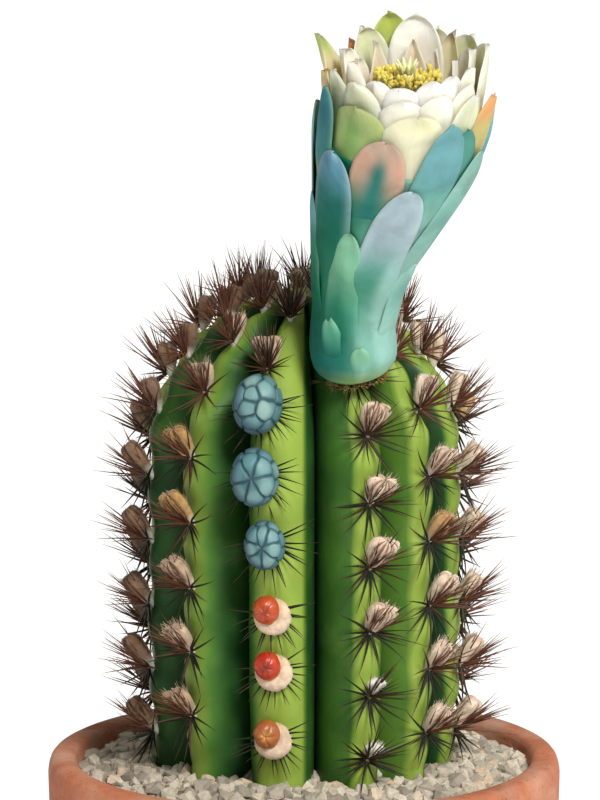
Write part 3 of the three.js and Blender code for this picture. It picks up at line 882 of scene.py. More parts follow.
def make_gravel(settings):
    segments, rows = 180, 10
    tree = gravel_tree()
    material = gravel_finish(settings)
    layers = []
    for number, (lower, spacing, size) in enumerate([(1.5, 1.55, 1.15), (0.55, 2.15, 1.0)]):
        bed = Shape()
        points = gravel_bed(rows, segments, 1.4, lower)
        bed.add(points, [face[::-1] for face in grid_faces(rows, segments, True)])
        host = bed.object("bed")
        inputs = {"Spacing": spacing * MM * settings.stone_size, "Seed": settings.seed + number}
        inputs["Stone_Size"] = 1.62 * MM * size * settings.stone_size
        layer = grown(host, "stones", tree, material, **inputs)
        set_smooth(layer.data, False)
        layers.append(layer)
    top = gravel_bed(rows, segments, 0.3, 2.3)
    under = top[[0, -1]].copy()
    under[..., 2] = SOIL_TOP + 0.4
    body = Shape()
    shell = np.concatenate([under[:1], top, under[1:], under[:1]])
    body.add(shell, grid_faces(rows + 3, segments, True), shade=0.2)
    filling = body.object("filling", material, recalculate=True)
    turn_out(filling.data, 0.01 * MM)
    gravel = joined_pieces([layers[1], layers[0], filling], "gravel")
    dress(gravel, "grit")


# Where a rib is pale, from its left furrow at -1 to its right one at 1, partly its own paler crest and partly
# painted light from the right, with painted shade on the flanks turned away: the band's left and right edge,
# how pale the flanks beyond them are, how soft the two edges are, and how pale the band is.
PALE_AND_PAINTED_LIGHT_BANDS = {
    0: (-0.75, -0.1, 0.3, 0.12, 0.2, 0.3, 0.8),
    1: (-0.6, 0.36, 0.3, 0.1, 0.2, 0.8, 0.7),
    2: (-0.36, 0.66, 0.2, 0.14, 0.6, 0.12, 1.0),
    3: (-0.28, 0.34, 0.24, 0.36, 0.16, 0.3, 0.94),
    4: (-0.44, 0.16, 0.4, 0.1, 0.12, 0.2, 0.9),
    5: (-0.46, 0.3, 0.1, 0.3, 0.16, 0.2, 0.84),
}
USUAL_PALE_AND_PAINTED_LIGHT_BAND = (-0.5, 0.5, 0.2, 0.12, 0.3, 0.3, 0.85)


def paleness_and_painted_light(rib, across, fullness):
    # Painted light and shade: each rib's band and flanks are set so that sides facing the right are lit, and
    # sides turned away and the furrows are shaded.
    left, right, left_flank, right_flank, left_soft, right_soft, most = PALE_AND_PAINTED_LIGHT_BANDS.get(rib.index, USUAL_PALE_AND_PAINTED_LIGHT_BAND)
    band = smoothstep(left - left_soft / 2, left + left_soft / 2, across)
    band = band * smoothstep(right + right_soft / 2, right - right_soft / 2, across)
    flank = np.where(across < (left + right) / 2, left_flank, right_flank)
    return (flank + (most - flank) * band) * smoothstep(-0.06, 0.5, fullness)


def make_stem(settings):
    columns, rings = 34, 190
    spread = np.linspace(-1, 1, columns, endpoint=False)
    across = np.sin(spread * math.pi / 2)
    heights = np.concatenate([np.linspace(-BURIED, 0, 5)[:-1], np.linspace(0, TIP - 0.35, rings)])
    blocks, levels = [], []
    for rib in RIBS:
        grid_across, grid_h = np.meshgrid(across, heights)
        points, fullness = rib_skin(rib, grid_across, grid_h)
        blocks.append(points)
        levels.append(paleness_and_painted_light(rib, grid_across, fullness))
    points = np.concatenate(blocks, axis=1)
    pale = np.concatenate(levels, axis=1)
    count, around = pale.shape
    ripple = smooth_noise(points.reshape(-1, 3), 7.0, 1.0).reshape(count, around)
    centre = points.mean(axis=1, keepdims=True)
    outward = unit(points - centre + np.array([0, 0, 1e-6]))
    shrink = smoothstep(0, 6, np.hypot(points[..., 0], points[..., 1]))
    points = points + outward * (0.16 * ripple * shrink)[..., None]
    shape = Shape()
    faces = grid_faces(count, around, True)
    low, high = count * around, count * around + 1
    faces += [(low, (j + 1) % around, j) for j in range(around)]
    top = (count - 1) * around
    faces += [(high, top + j, top + (j + 1) % around) for j in range(around)]
    ends = np.array([[0, 0, FOOT_Z - BURIED], [0, 0, meridian(TIP)["crest"][1]]])
    everything = np.concatenate([points.reshape(-1, 3), ends])
    # The paleness attribute holds the crests' paler colour together with painted light and painted shade.
    shape.add(everything, faces, paleness_and_painted_light=np.concatenate([pale.ravel(), [0, 0.2]]))
    stem = shape.object("stem_skin", skin_finish(settings), recalculate=True)
    dress(stem, "stem")


# Wool and spines

CREAM = linear(232, 210, 186)
PALE_WOOL = linear(230, 224, 210)
UMBER = linear(78, 50, 34)
REDDISH = linear(126, 74, 50)
DARK_GREEN = linear(26, 40, 20)
BLACKISH = linear(34, 28, 20)
GOLD = linear(186, 142, 68)


def tuft_way(areole):
    """Which way an areole's wool points: out, up the rib, and away from the front at the sides."""
    lean = 0.3 * np.clip(2.2 * math.sin(areole.rib.bearing), -1, 1) * (1 - areole.crowding)
    return unit(0.6 * areole.out + 0.8 * areole.up + lean * areole.side)


def fan_frame(areole):
    """The wool's way, its broad side and its thin side."""
    way = tuft_way(areole)
    broad = unit(areole.side - way * np.dot(areole.side, way))
    thin = np.cross(way, broad)
    if np.dot(thin, areole.out) < 0:
        thin = -thin
    return way, broad, thin


def tuft_size(areole):
    return (0.6 if areole.white else 1.0) * (1 - 0.25 * areole.crowding)


def streaks_across(places, angle):
    """How brown each side of a tuft is, with thin streaks at places from its left to its right."""
    brown = np.zeros_like(angle)
    for front, side_places in zip((True, False), places):
        facing = np.sin(angle) > 0 if front else np.sin(angle) <= 0
        for place in side_places:
            brown += facing * np.exp(-(((np.cos(angle) - place) / 0.085) ** 2))
    return np.clip(brown, 0, 1)


def wool_core(shape, areole, colours, random):
    """A matted fan that widens from its white foot to a blunt, ragged end, with brown streaks along it."""
    way, broad, thin = fan_frame(areole)
    size = tuft_size(areole)
    levels = np.array([-0.1, 0.0, 0.1, 0.2, 0.32, 0.46, 0.6, 0.72, 0.83, 0.92, 0.98, 1.01, 0.99])
    widths = np.array([0.3, 0.55, 0.95, 1.4, 1.8, 2.2, 2.5, 2.7, 2.75, 2.55, 2.0, 1.1, 0.3])
    depths = np.array([0.3, 0.5, 0.8, 1.1, 1.3, 1.5, 1.6, 1.65, 1.6, 1.45, 1.15, 0.65, 0.2])
    around = 72
    angle = turns(around)
    places = [np.linspace(-0.78, 0.78, 6) + random.uniform(-0.09, 0.09, 6) for _ in range(2)]
    brown = streaks_across(places, angle)
    uneven = random.uniform(-1, 1, around)
    ragged = 0.35 * random.uniform(-1, 1, around) - 0.5 * brown
    grown_in = smoothstep(0.1, 0.5, levels)[:, None]
    groove = (0.1 * brown + 0.04 * uneven)[None] * grown_in
    length = 6.0 * size * random.uniform(0.9, 1.12)
    tip = smoothstep(0.7, 0.95, levels)[:, None] * ragged[None] * (widths[:, None] / 2.6)
    along = levels[:, None] * length + tip * size
    wide = (widths * size)[:, None] * (1 - groove) * np.cos(angle)[None]
    deep = (depths * size)[:, None] * (1 - groove) * np.sin(angle)[None]
    points = areole.place + along[..., None] * way + wide[..., None] * broad + deep[..., None] * thin
    base, shadow = colours
    mottle = np.clip(0.5 + 0.35 * uneven, 0, 1)[None] * grown_in
    paint = blend_colours(base, blend_colours(base, shadow, 0.14), mottle)
    paint = blend_colours(paint, shadow, brown[None] * smoothstep(0.16, 0.42, levels)[:, None])
    paint = blend_colours(paint, PALE_WOOL, (1 - smoothstep(0.05, 0.34, levels))[:, None] * np.ones(around))
    shape.add(points, capped_faces(len(levels), around), paint=paint.reshape(-1, 3), along=0.0)


def wool_colours(areole, random):
    """A tuft's wool and the brown of its streaks: creamier to the right, browner to the left."""
    if areole.white:
        return PALE_WOOL, blend_colours(PALE_WOOL, UMBER, 0.3)
    tint = np.clip(0.4 - 0.5 * math.sin(areole.rib.bearing) + random.uniform(-0.25, 0.25), 0, 1)
    golden = 0.8 if (areole.rib.index, areole.number) in GOLDEN_AREOLES else 0.0
    base = blend_colours(blend_colours(CREAM, linear(192, 162, 130), tint), GOLD, golden)
    far_left = smoothstep(-0.7, -0.9, math.sin(areole.rib.bearing))
    base = blend_colours(base, linear(112, 80, 60), 0.75 * far_left)
    return base, blend_colours(REDDISH, UMBER, 0.3 + 0.6 * tint)


def wool_fibres(bristles, areole, colours, count, random):
    """Loose fibres that lie along the wool and fray its end."""
    way, broad, thin = fan_frame(areole)
    size = tuft_size(areole)
    angle = random.uniform(0, math.tau, count)
    level = random.uniform(0.15, 1.0, count) ** 0.55
    width = np.interp(level, [0, 0.5, 0.85, 1], [0.75, 2.1, 2.6, 1.8]) * size
    depth = np.interp(level, [0, 0.5, 0.85, 1], [0.7, 1.5, 1.6, 1.1]) * size
    off = broad * (width * np.cos(angle))[:, None] + thin * (depth * np.sin(angle))[:, None]
    start = areole.place + way * (level * 5.6 * size)[:, None] + off * 0.96
    spread = off / (np.linalg.norm(off, axis=1, keepdims=True) + 1e-6)
    heading = way + spread * random.uniform(0.2, 0.5, (count, 1)) + random.normal(0, 0.07, (count, 3))
    base, shadow = colours
    paint = blend_colours(base, shadow, 0.6 * random.uniform(0, 1, count) ** 3)
    bristles.add(start, heading, random.uniform(0.7, 1.5, count) * size, 0.06, paint)


def spine_sets(areole, random):
    """Angle from up the rib, rise off the skin, length and reach of an areole's spines, degrees and mm."""
    if areole.under_bud or areole.under_flower:
        count = 18
        around = np.linspace(62, 268, count)
        rise = random.uniform(5, 16, count)
        length = random.uniform(6.6, 8.4, count) if areole.number > 2 else random.uniform(5.6, 7.4, count)
        return around + random.uniform(-6, 6, count), rise, length
    way = tuft_way(areole)
    swing = math.degrees(math.atan2(np.dot(way, areole.side), np.dot(way, areole.up)))
    flat, tall = 11, 16
    around = swing + np.linspace(72, 288, flat) + random.uniform(-9, 9, flat)
    rise = random.uniform(6, 26, flat)
    length = random.uniform(5.2, 8.2, flat)
    around = np.concatenate([around, swing + np.linspace(-76, 76, tall) + random.uniform(-8, 8, tall)])
    rise = np.concatenate([rise, random.uniform(26, 72, tall)])
    length = np.concatenate([length, random.uniform(6.8, 10.0, tall)])
    rise = rise + (76 - rise) * areole.crowding * 0.7
    return around, rise, length * (1 - 0.1 * areole.crowding)


def add_spines(bristles, areole, settings, random):
    around, rise, length = spine_sets(areole, random)
    length = length * settings.spine_length / SPINE_LENGTH
    way = areole.way(np.radians(around), np.radians(rise))
    lift = 0.25 if areole.under_bud or areole.under_flower else 0.5
    start = areole.place + areole.out * lift + way * 0.5
    lowest = FOOT_Z + 0.6
    tip_z = start[:, 2] + way[:, 2] * length
    way[:, 2] = np.where(tip_z < lowest, np.maximum((lowest - start[:, 2]) / length, -0.25), way[:, 2])
    way = unit(way)
    along = np.linspace(0.45, 1, 5)
    samples = start[:, None] + way[:, None] * (length[:, None] * along)[..., None]
    blocked = inside_flower(samples.reshape(-1, 3), 0.25).reshape(len(start), -1).any(axis=1)
    keep = ~blocked if not areole.under_flower else np.ones(len(start), bool)
    dark = blend_colours(DARK_GREEN, BLACKISH, random.uniform(0, 1, len(start)))
    brown = blend_colours(REDDISH, UMBER, random.uniform(0, 1, len(start)))
    at_side = smoothstep(0.4, 0.85, abs(math.sin(areole.rib.bearing)))
    browned = smoothstep(18, 34, rise + random.uniform(-5, 5, len(start))) * (0.3 + 0.7 * at_side)
    paint = blend_colours(dark, brown, browned)
    thickness = np.where(rise > 28, 0.165, 0.23) + random.uniform(-0.02, 0.03, len(start))
    bristles.add(start[keep], way[keep], length[keep], thickness[keep], paint[keep])


def add_fan_streaks(bristles, areole, random):
    """Spines that lie along the front of the wool and run out beyond it."""
    way, broad, thin = fan_frame(areole)
    size = tuft_size(areole)
    count = 6
    swing = np.linspace(-0.46, 0.46, count) + random.uniform(-0.05, 0.05, count)
    heading = way + broad * swing[:, None] + thin * random.uniform(0.17, 0.27, (count, 1))
    start = areole.place + broad * (swing * 1.2 * size)[:, None] + thin * 0.8 * size + way * 0.7
    length = random.uniform(6.6, 9.0, count) * (0.7 + 0.3 * size)
    samples = start + unit(heading) * length[:, None]
    keep = ~inside_flower(samples, 0.25)
    paint = blend_colours(REDDISH, UMBER, random.uniform(0, 1, count))
    if areole.white:
        paint = blend_colours(DARK_GREEN, PALE_WOOL, random.uniform(0, 1, count) ** 2)
    width = random.uniform(0.12, 0.17, count)
    bristles.add(start[keep], heading[keep], length[keep], width[keep], paint[keep])


def flower_foot_wool(bristles, random):
    """The line of golden wool that the flower's foot sits in."""
    count = 320
    bearing = random.uniform(0, math.tau, count)
    start = flower_point(random.uniform(0.1, 0.9, count), bearing, random.uniform(3.6, 4.9, count))
    centre, way, _, _ = axis_frame(np.zeros(count))
    heading = unit(start - centre) * 0.9 - way * random.uniform(-0.5, 0.5, (count, 1))
    paint = blend_colours(GOLD, UMBER, random.uniform(0, 1, count) ** 2)
    bristles.add(start, heading, random.uniform(0.4, 0.8, count), 0.08, paint)


def young_bud_cup(shape, bristles, areole, random):
    """A ring of cream wool, thicker below and to the right, round a young bud."""
    around, rings = 48, 14
    angle, section = turns(around), turns(rings)
    heavier = 0.5 + 0.5 * np.cos(angle - math.radians(145))
    centre_radius = 1.7 + 0.5 * heavier
    thick = 0.85 + 0.65 * heavier
    uneven = 1 + 0.03 * random.uniform(-1, 1, (around, 1))
    radial = centre_radius[:, None] + thick[:, None] * np.cos(section)[None] * uneven
    height = 0.9 + 1.15 * np.sin(section)[None] * (0.8 + 0.35 * heavier)[:, None] * uneven
    radial_way = areole.up * np.cos(angle)[:, None] + areole.side * np.sin(angle)[:, None]
    points = areole.place + radial[..., None] * radial_way[:, None] + height[..., None] * areole.out
    # Painted shade: darker on the ring's underside and on its thinner upper left side.
    shade = smoothstep(0.2, -0.9, np.sin(section))[None] * np.ones((around, 1))
    shade = np.clip(shade + 0.5 * (1 - heavier)[:, None] * np.ones(rings), 0, 1)
    paint = blend_colours(linear(220, 196, 170), linear(184, 150, 88), shade)
    shape.add(points, ring_faces(around, rings), paint=paint.reshape(-1, 3), along=0.0)
    count = 70
    turn = random.uniform(0, math.tau, count)
    outward = areole.up * np.cos(turn)[:, None] + areole.side * np.sin(turn)[:, None]
    reach = random.uniform(2.0, 3.0, (count, 1))
    start = areole.place + outward * reach + areole.out * random.uniform(0.3, 1.4, (count, 1))
    heading = outward * 0.7 + areole.out * random.uniform(0.1, 1.0, (count, 1))
    heading = heading + random.normal(0, 0.3, (count, 3))
    colours = blend_colours(linear(220, 198, 174), GOLD, random.uniform(0, 1, count) ** 3)
    bristles.add(start, heading, random.uniform(0.25, 0.55, count), 0.05, colours)


def areoles_on(rib):
    return [one for one in AREOLES if one.rib is rib]


def make_wool(settings):
    tree = bristle_tree()
    material = wool_finish()
    for rib in RIBS:
        random = np.random.default_rng(100 + rib.index)
        cores, bristles = Shape(), Bristles()
        for areole in areoles_on(rib):
            if areole.under_flower:
                flower_foot_wool(bristles, random)
            elif areole.under_bud and areole.number < len(YOUNG_COLOURS):
                young_bud_cup(cores, bristles, areole, random)
            elif not areole.under_bud:
                colours = wool_colours(areole, random)
                wool_core(cores, areole, colours, random)
                wool_fibres(bristles, areole, colours, settings.wool_fibres, random)
        inputs = {"Segments": 3, "Sides": 3, "Bend": 3.0, "Taper": 0.75, "Seed": 5 + rib.index}
        fibres = bristles.grow("fibres", tree, material, **inputs)
        matted = cores.object("matted", material, recalculate=True)
        wool = joined_pieces([matted, fibres], f"wool_rib_{rib.index + 1}")
        dress(wool, "stem")


def make_spines(settings):
    tree = bristle_tree()
    material = spine_finish()
    for rib in RIBS:
        random = np.random.default_rng(300 + rib.index)
        bristles = Bristles()
        for areole in areoles_on(rib):
            add_spines(bristles, areole, settings, random)
            if not areole.under_bud and not areole.under_flower:
                add_fan_streaks(bristles, areole, random)
        inputs = {"Segments": 6, "Sides": 6, "Bend": 4.0, "Taper": 0.9, "Seed": 40 + rib.index}
        spines = bristles.grow(f"spines_rib_{rib.index + 1}", tree, material, **inputs)
        dress(spines, "stem")


# Buds

# Where each blue bud's scales have their middles, right and up from its centre, as shares of its radius.
BUD_SCALES = [
    [(0.0, 0.62), (-0.5, 0.5), (0.5, 0.48), (-0.6, -0.06), (0.62, -0.05), (-0.32, -0.56), (0.3, -0.58)],
    [(-0.12, 0.68), (0.48, 0.5), (0.62, -0.22), (0.1, -0.62), (-0.5, -0.45), (-0.62, 0.26)],
    [(-0.27, 0.71), (0.42, 0.4), (-0.72, 0.2), (-0.15, 0.16), (-0.26, -0.3), (0.44, -0.34), (-0.06, -0.76)],
]
BLUE_BUD_RADII = [3.35, 3.95, 4.05]
BUD_RIM_CELLS = 9
BUD_BACK_CELLS = 8

YOUNG_COLOURS = [
    (linear(150, 84, 44), linear(190, 134, 60)),
    (linear(172, 34, 14), linear(96, 16, 14)),
    (linear(176, 66, 26), linear(136, 40, 18)),
]


def round_mesh(subdivisions):
    """Directions and faces of an even ball."""
    form = bmesh.new()
    bmesh.ops.create_icosphere(form, subdivisions=subdivisions, radius=1.0)
    points = np.array([vertex.co for vertex in form.verts])
    faces = [tuple(vertex.index for vertex in face.verts) for face in form.faces]
    form.free()
    return unit(points), faces


def bud_areole(number):
    return next(one for one in AREOLES if one.under_bud and one.number == number)


def bud_ways(ways, areole, tall, deep):
    """Directions of an even ball as an areole stands, with two of its axes longer or shorter."""
    return ways[:, :1] * areole.side + tall * ways[:, 1:2] * areole.up + deep * ways[:, 2:] * areole.out


def bud_cells(front):
    """Directions of a bud's scales: those in front as given, then a rim and the back filled in."""
    cells = [(u, v, math.sqrt(max(0.02, 1 - u * u - v * v))) for u, v in front]
    for i in range(BUD_RIM_CELLS):
        angle = math.tau * (i + 0.5) / BUD_RIM_CELLS
        cells.append((math.cos(angle), math.sin(angle), -0.05 + 0.1 * (i % 2)))
    for i in range(BUD_BACK_CELLS):
        angle = i * 2.4
        reach = math.sqrt((i + 0.5) / BUD_BACK_CELLS) * 0.85
        cells.append((reach * math.cos(angle), reach * math.sin(angle), -math.sqrt(1 - reach * reach)))
    return unit(np.array(cells))


def make_blue_buds(settings):
    material = bud_finish()
    pale = np.array(settings.bud_colour)
    joint_colour = linear(26, 60, 70)
    # The colour of the painted shade on the buds' rims.
    painted_rim_shade = linear(36, 66, 84)
    ways, faces = round_mesh(6)
    for index, radius in enumerate(BLUE_BUD_RADII):
        areole = bud_areole(index + len(YOUNG_COLOURS))
        random = np.random.default_rng(500 + index)
        cells = bud_cells(BUD_SCALES[index])
        bent = unit(ways + 0.05 * np.column_stack([smooth_noise(ways * 3, 1.0, s) for s in (1, 2, 3)]))
        apart = np.arccos(np.clip(bent @ cells.T, -1, 1))
        nearest = np.argsort(apart, axis=1)[:, :2]
        first = np.take_along_axis(apart, nearest[:, :1], 1)[:, 0]
        second = np.take_along_axis(apart, nearest[:, 1:], 1)[:, 0]
        joint = smoothstep(0.0, 0.17, second - first)
        pillow = joint**0.7 * (1 - 0.35 * first)
        size = radius * (0.9 + 0.12 * pillow)
        across = bud_ways(ways, areole, 1.22, 0.94)
        points = areole.place + areole.out * 0.86 * radius + across * size[:, None]
        tints = random.uniform(0, 1, len(cells))
        blue = linear(86, 132, 138)
        body = blend_colours(pale, blue, tints[nearest[:, 0]])
        body = blend_colours(body, linear(48, 92, 98), smoothstep(0.16, 0.46, first) * 0.75)
        paint = blend_colours(joint_colour, body, joint)
        # Painted shade: the side of each bud turned back, down and to the left, away from the light, darkens
        # to the rim colour.
        painted_shade_side = smoothstep(0.78, 0.2, ways[:, 2] + 0.4 * ways[:, 0] + 0.2 * ways[:, 1])
        paint = blend_colours(paint, painted_rim_shade, painted_shade_side * 0.85)
        shape = Shape()
        shape.add(points, faces, paint=paint)
        bud = shape.object(f"blue_bud_{index + 1}", material, recalculate=True)
        dress(bud, f"bud_{index + 1}")


def make_young_buds():
    material = young_bud_finish()
    ways, faces = round_mesh(5)
    turn = np.arctan2(ways[:, 1], ways[:, 0])
    from_tip = np.arccos(np.clip(ways[:, 2], -1, 1))
    for index, (body, heart) in enumerate(YOUNG_COLOURS):
        areole = bud_areole(index)
        lobes = 0.5 + 0.5 * np.cos(5 * turn + 0.6 * index)
        groove = lobes**4 * smoothstep(1.3, 0.15, from_tip)
        dent = 0.12 * np.exp(-((from_tip / 0.28) ** 2))
        uneven = 0.05 * smooth_noise(ways * 2.2, 1.0, index)
        size = 2.25 * (1 - 0.1 * groove - dent + uneven)
        across = bud_ways(ways, areole, 1.06, 1.0)
        centre = areole.place + areole.out * 1.55 + areole.up * 0.75 - areole.side * 0.55
        inner = smoothstep(0.75, 0.2, from_tip + 0.25 * lobes)
        paint = blend_colours(body, heart, inner * 0.85)
        paint = blend_colours(paint, heart, groove * 0.4)
        low = smoothstep(1.1, 1.7, from_tip) * smoothstep(0.2, -0.6, ways[:, 1])
        paint = blend_colours(paint, linear(190, 150, 60), low * 0.7)
        shape = Shape()
        shape.add(centre + across * size[:, None], faces, paint=paint)
        bud = shape.object(f"orange_bud_{index + 1}", material, recalculate=True)
        dress(bud, f"young_bud_{index + 1}")


# Flower

TEAL = linear(16, 100, 74)
SEA_GREEN = linear(58, 132, 108)
AQUA = linear(136, 180, 168)
SKY = linear(92, 142, 160)
LILAC = linear(164, 186, 194)
MINT = linear(118, 176, 142)
ROSE = linear(200, 158, 136)
DUSK = linear(178, 160, 142)
DEEP_TEAL = linear(42, 108, 100)
PALE_BLUE = linear(104, 156, 162)
LEAF = linear(92, 152, 70)
MOSS = linear(44, 108, 42)
LIME = linear(178, 188, 92)
PEA = linear(158, 178, 112)
IVORY = linear(246, 241, 220)
SNOW = linear(252, 249, 238)
BUTTER = linear(238, 226, 178)
STRAW = linear(190, 178, 112)
ORANGE = linear(208, 132, 86)
BROWN = linear(142, 88, 50)
BLUSH = linear(248, 226, 202)

# Scales, by where their tips are: [bearing in degrees, along its start and its tip, width, how far in
# from the flower's outline, how far the tip bends out, finish]. Bearings run from the front towards the
# right. The first rows are in front, and the last fill the back.
SCALES = [
    (9, 1.5, 8.4, 3.4, 0.2, 0.1, "mint"),
    (-32, 4.0, 13.0, 3.6, 0.25, 0.1, "faint"),
    (-20, 7, 28.8, 5.6, 0.1, 0.1, "mint"),
    (62, 8, 24.4, 5.6, 0.1, 0.2, "aqua"),
    (-78, 10, 31.0, 5.6, 0.1, 0.2, "sea"),
    (122, 8, 27.0, 5.8, 0.1, 0.2, "aqua"),
    (180, 8, 29.0, 5.8, 0.1, 0.2, "mint"),
    (-126, 8, 27.5, 5.6, 0.1, 0.2, "sea"),
    (-46, 14, 42.4, 9.0, 0.15, 0.4, "sky"),
    (16, 10, 40.2, 8.2, 0.1, 0.4, "lilac"),
    (64, 14, 46.4, 8.0, 0.15, 0.4, "aqua"),
    (112, 15, 44.0, 8.0, 0.1, 0.4, "lilac"),
    (156, 14, 45.0, 8.0, 0.15, 0.4, "sky"),
    (-158, 13, 43.0, 8.0, 0.1, 0.4, "lilac"),
    (-104, 15, 45.5, 8.2, 0.15, 0.4, "aqua"),
    (-67, 29, 55.4, 6.8, 0.55, 0.5, "tipped"),
    (-11, 27, 48.2, 9.4, 0.6, 0.5, "rose"),
    (33, 25, 51.6, 8.6, 0.55, 0.5, "pale_blue"),
    (47, 27, 50.2, 8.0, 0.75, 0.4, "deep"),
    (90, 27, 50.0, 8.6, 0.65, 0.5, "pale_blue"),
    (132, 27, 50.0, 9.2, 0.7, 0.5, "rose"),
    (178, 27, 51.4, 9.0, 0.65, 0.5, "pale_blue"),
    (-134, 27, 50.4, 9.2, 0.7, 0.5, "deep"),
]

# Petals, in the same way but for the start, which the petals of a whorl share.
OUTER_PETALS = [
    (-37, 53.4, 11.0, 1.45, 0.7, "green"),
    (8, 53.1, 11.4, 1.5, 0.8, "cream_yellow"),
    (55, 54.2, 9.6, 1.6, 0.8, "greenish"),
    (73, 53.2, 10.4, 1.3, 2.0, "tan"),
    (126, 54.5, 9.8, 1.6, 1.0, "pea"),
    (168, 55.0, 10.0, 1.5, 1.0, "cream_yellow"),
    (-148, 54.5, 10.0, 1.6, 1.0, "pea"),
    (-92, 55.4, 9.0, 1.5, 0.8, "straw"),
]
MIDDLE_PETALS = [
    (-44, 57.1, 9.4, 2.7, 0.8, "greenish"),
    (-3, 55.2, 9.4, 2.8, 0.9, "ivory"),
    (25, 55.6, 8.8, 2.6, 0.9, "ivory"),
    (54, 55.8, 9.2, 2.7, 1.2, "butter"),
    (99, 58.6, 9.8, 2.6, 1.9, "greenish"),
    (131, 57.2, 9.8, 2.2, 2.4, "greenish"),
    (156, 57.6, 9.2, 2.8, 1.8, "butter"),
    (-168, 59.9, 8.4, 2.4, 1.6, "green_tip"),
    (-138, 56.6, 5.2, 2.3, 1.9, "orange_sliver"),
    (-112, 59.4, 9.0, 2.0, 3.4, "green_point"),
    (-72, 57.2, 9.0, 2.7, 1.2, "greenish"),
]
INNER_PETALS = [
    (-7, 56.8, 9.2, 4.0, 0.8, "snow"),
    (22, 57.6, 7.2, 4.1, 0.9, "snow"),
    (-30, 57.4, 7.4, 4.2, 0.7, "ivory"),
    (-60, 59.4, 7.0, 4.2, 0.9, "blush"),
    (44, 57.4, 7.0, 4.2, 1.1, "snow"),
    (68, 57.4, 7.2, 4.1, 1.4, "butter"),
    (141, 57.8, 6.4, 3.6, 2.0, "brown_tip"),
    (171, 59.8, 9.4, 3.8, 1.9, "snow"),
    (-144, 58.8, 8.0, 3.7, 1.8, "greenish"),
    (-112, 57.4, 7.0, 4.2, 1.4, "ivory"),
    (108, 57.2, 6.6, 4.3, 1.6, "ivory"),
]
HEART_PETALS = [
    (-144, 57.4, 4.8, 6.3, 0.9, "point"),
    (172, 57.2, 6.0, 6.4, 0.9, "point"),
    (146, 55.6, 4.6, 6.3, 0.9, "point"),
    (112, 55.4, 4.6, 6.4, 0.8, "point"),
    (-110, 56.2, 4.8, 6.4, 0.8, "blush"),
    (-72, 54.6, 4.8, 6.4, 0.6, "blush"),
    (74, 54.6, 4.6, 6.4, 0.8, "point"),
    (34, 52.6, 4.4, 6.5, 0.5, "ivory"),
    (-24, 52.4, 4.8, 6.5, 0.5, "ivory"),
]

# Each finish: colours of the foot (none where it takes the tube's colour with its painted light and shade),
# body, tip, edge and midrib; where the tip's colour starts; how strong the edge's and the midrib's are; and
# how pointed the tip is.
BLADE_FINISHES = {
    "mint": (None, MINT, linear(128, 182, 150), MINT, None, 0.7, 0.2, 0.0, 0.0),
    "faint": (None, linear(84, 158, 130), MINT, SEA_GREEN, None, 0.7, 0.0, 0.0, 0.0),
    "aqua": (None, linear(116, 172, 160), AQUA, AQUA, None, 0.6, 0.4, 0.0, 0.0),
    "sea": (None, SEA_GREEN, PALE_BLUE, AQUA, None, 0.6, 0.3, 0.0, 0.0),
    "sky": (None, linear(30, 112, 104), SKY, LILAC, None, 0.62, 0.4, 0.0, 0.0),
    "lilac": (None, linear(136, 178, 180), LILAC, linear(178, 200, 198), None, 0.4, 0.4, 0.0, 0.0),
    "tipped": (STRAW, linear(64, 132, 130), linear(58, 124, 134), PEA, None, 0.45, 0.25, 0.0, 0.35),
    "rose": (None, ROSE, DUSK, linear(208, 170, 148), linear(40, 116, 108), 0.8, 0.5, 1.0, 0.1),
    "pale_blue": (None, linear(70, 146, 130), PALE_BLUE, linear(120, 170, 160), None, 0.45, 0.35, 0.0, 0.0),
    "deep": (None, DEEP_TEAL, linear(82, 142, 130), SEA_GREEN, None, 0.5, 0.3, 0.0, 0.0),
    "green": (MOSS, PEA, linear(166, 180, 118), PEA, LEAF, 0.7, 0.2, 0.6, 0.0),
    "cream_yellow": (LIME, linear(222, 218, 186), linear(212, 208, 166), IVORY, None, 0.78, 0.25, 0.0, 0.0),
    "pea": (LIME, linear(206, 208, 166), PEA, IVORY, None, 0.8, 0.3, 0.0, 0.0),
    "tan": (LIME, STRAW, ORANGE, linear(204, 186, 126), None, 0.78, 0.2, 0.0, 0.0),
    "straw": (LIME, linear(200, 184, 140), linear(194, 166, 120), STRAW, None, 0.8, 0.3, 0.0, 0.2),
    "greenish": (LIME, linear(218, 220, 186), linear(212, 216, 180), SNOW, PEA, 0.7, 0.5, 0.4, 0.0),
    "ivory": (BUTTER, IVORY, IVORY, SNOW, BUTTER, 0.7, 0.6, 0.45, 0.0),
    "butter": (LIME, linear(228, 220, 182), IVORY, SNOW, BUTTER, 0.7, 0.5, 0.4, 0.1),
    "snow": (BUTTER, IVORY, SNOW, SNOW, BLUSH, 0.5, 0.8, 0.5, 0.0),
    "blush": (BUTTER, BLUSH, IVORY, SNOW, linear(232, 200, 172), 0.7, 0.6, 0.5, 0.2),
    "green_tip": (LIME, linear(210, 212, 152), linear(178, 194, 100), BUTTER, None, 0.6, 0.2, 0.0, 0.1),
    "green_point": (BUTTER, linear(228, 212, 172), linear(142, 172, 66), IVORY, None, 0.76, 0.2, 0.0, 0.7),
    "orange_sliver": (BUTTER, linear(214, 166, 116), ORANGE, BROWN, None, 0.5, 0.4, 0.0, 0.5),
    "brown_tip": (BUTTER, linear(230, 220, 180), BROWN, BUTTER, None, 0.88, 0.3, 0.0, 0.6),
    "point": (BUTTER, BLUSH, IVORY, SNOW, linear(234, 206, 180), 0.7, 0.9, 0.6, 0.8),
}


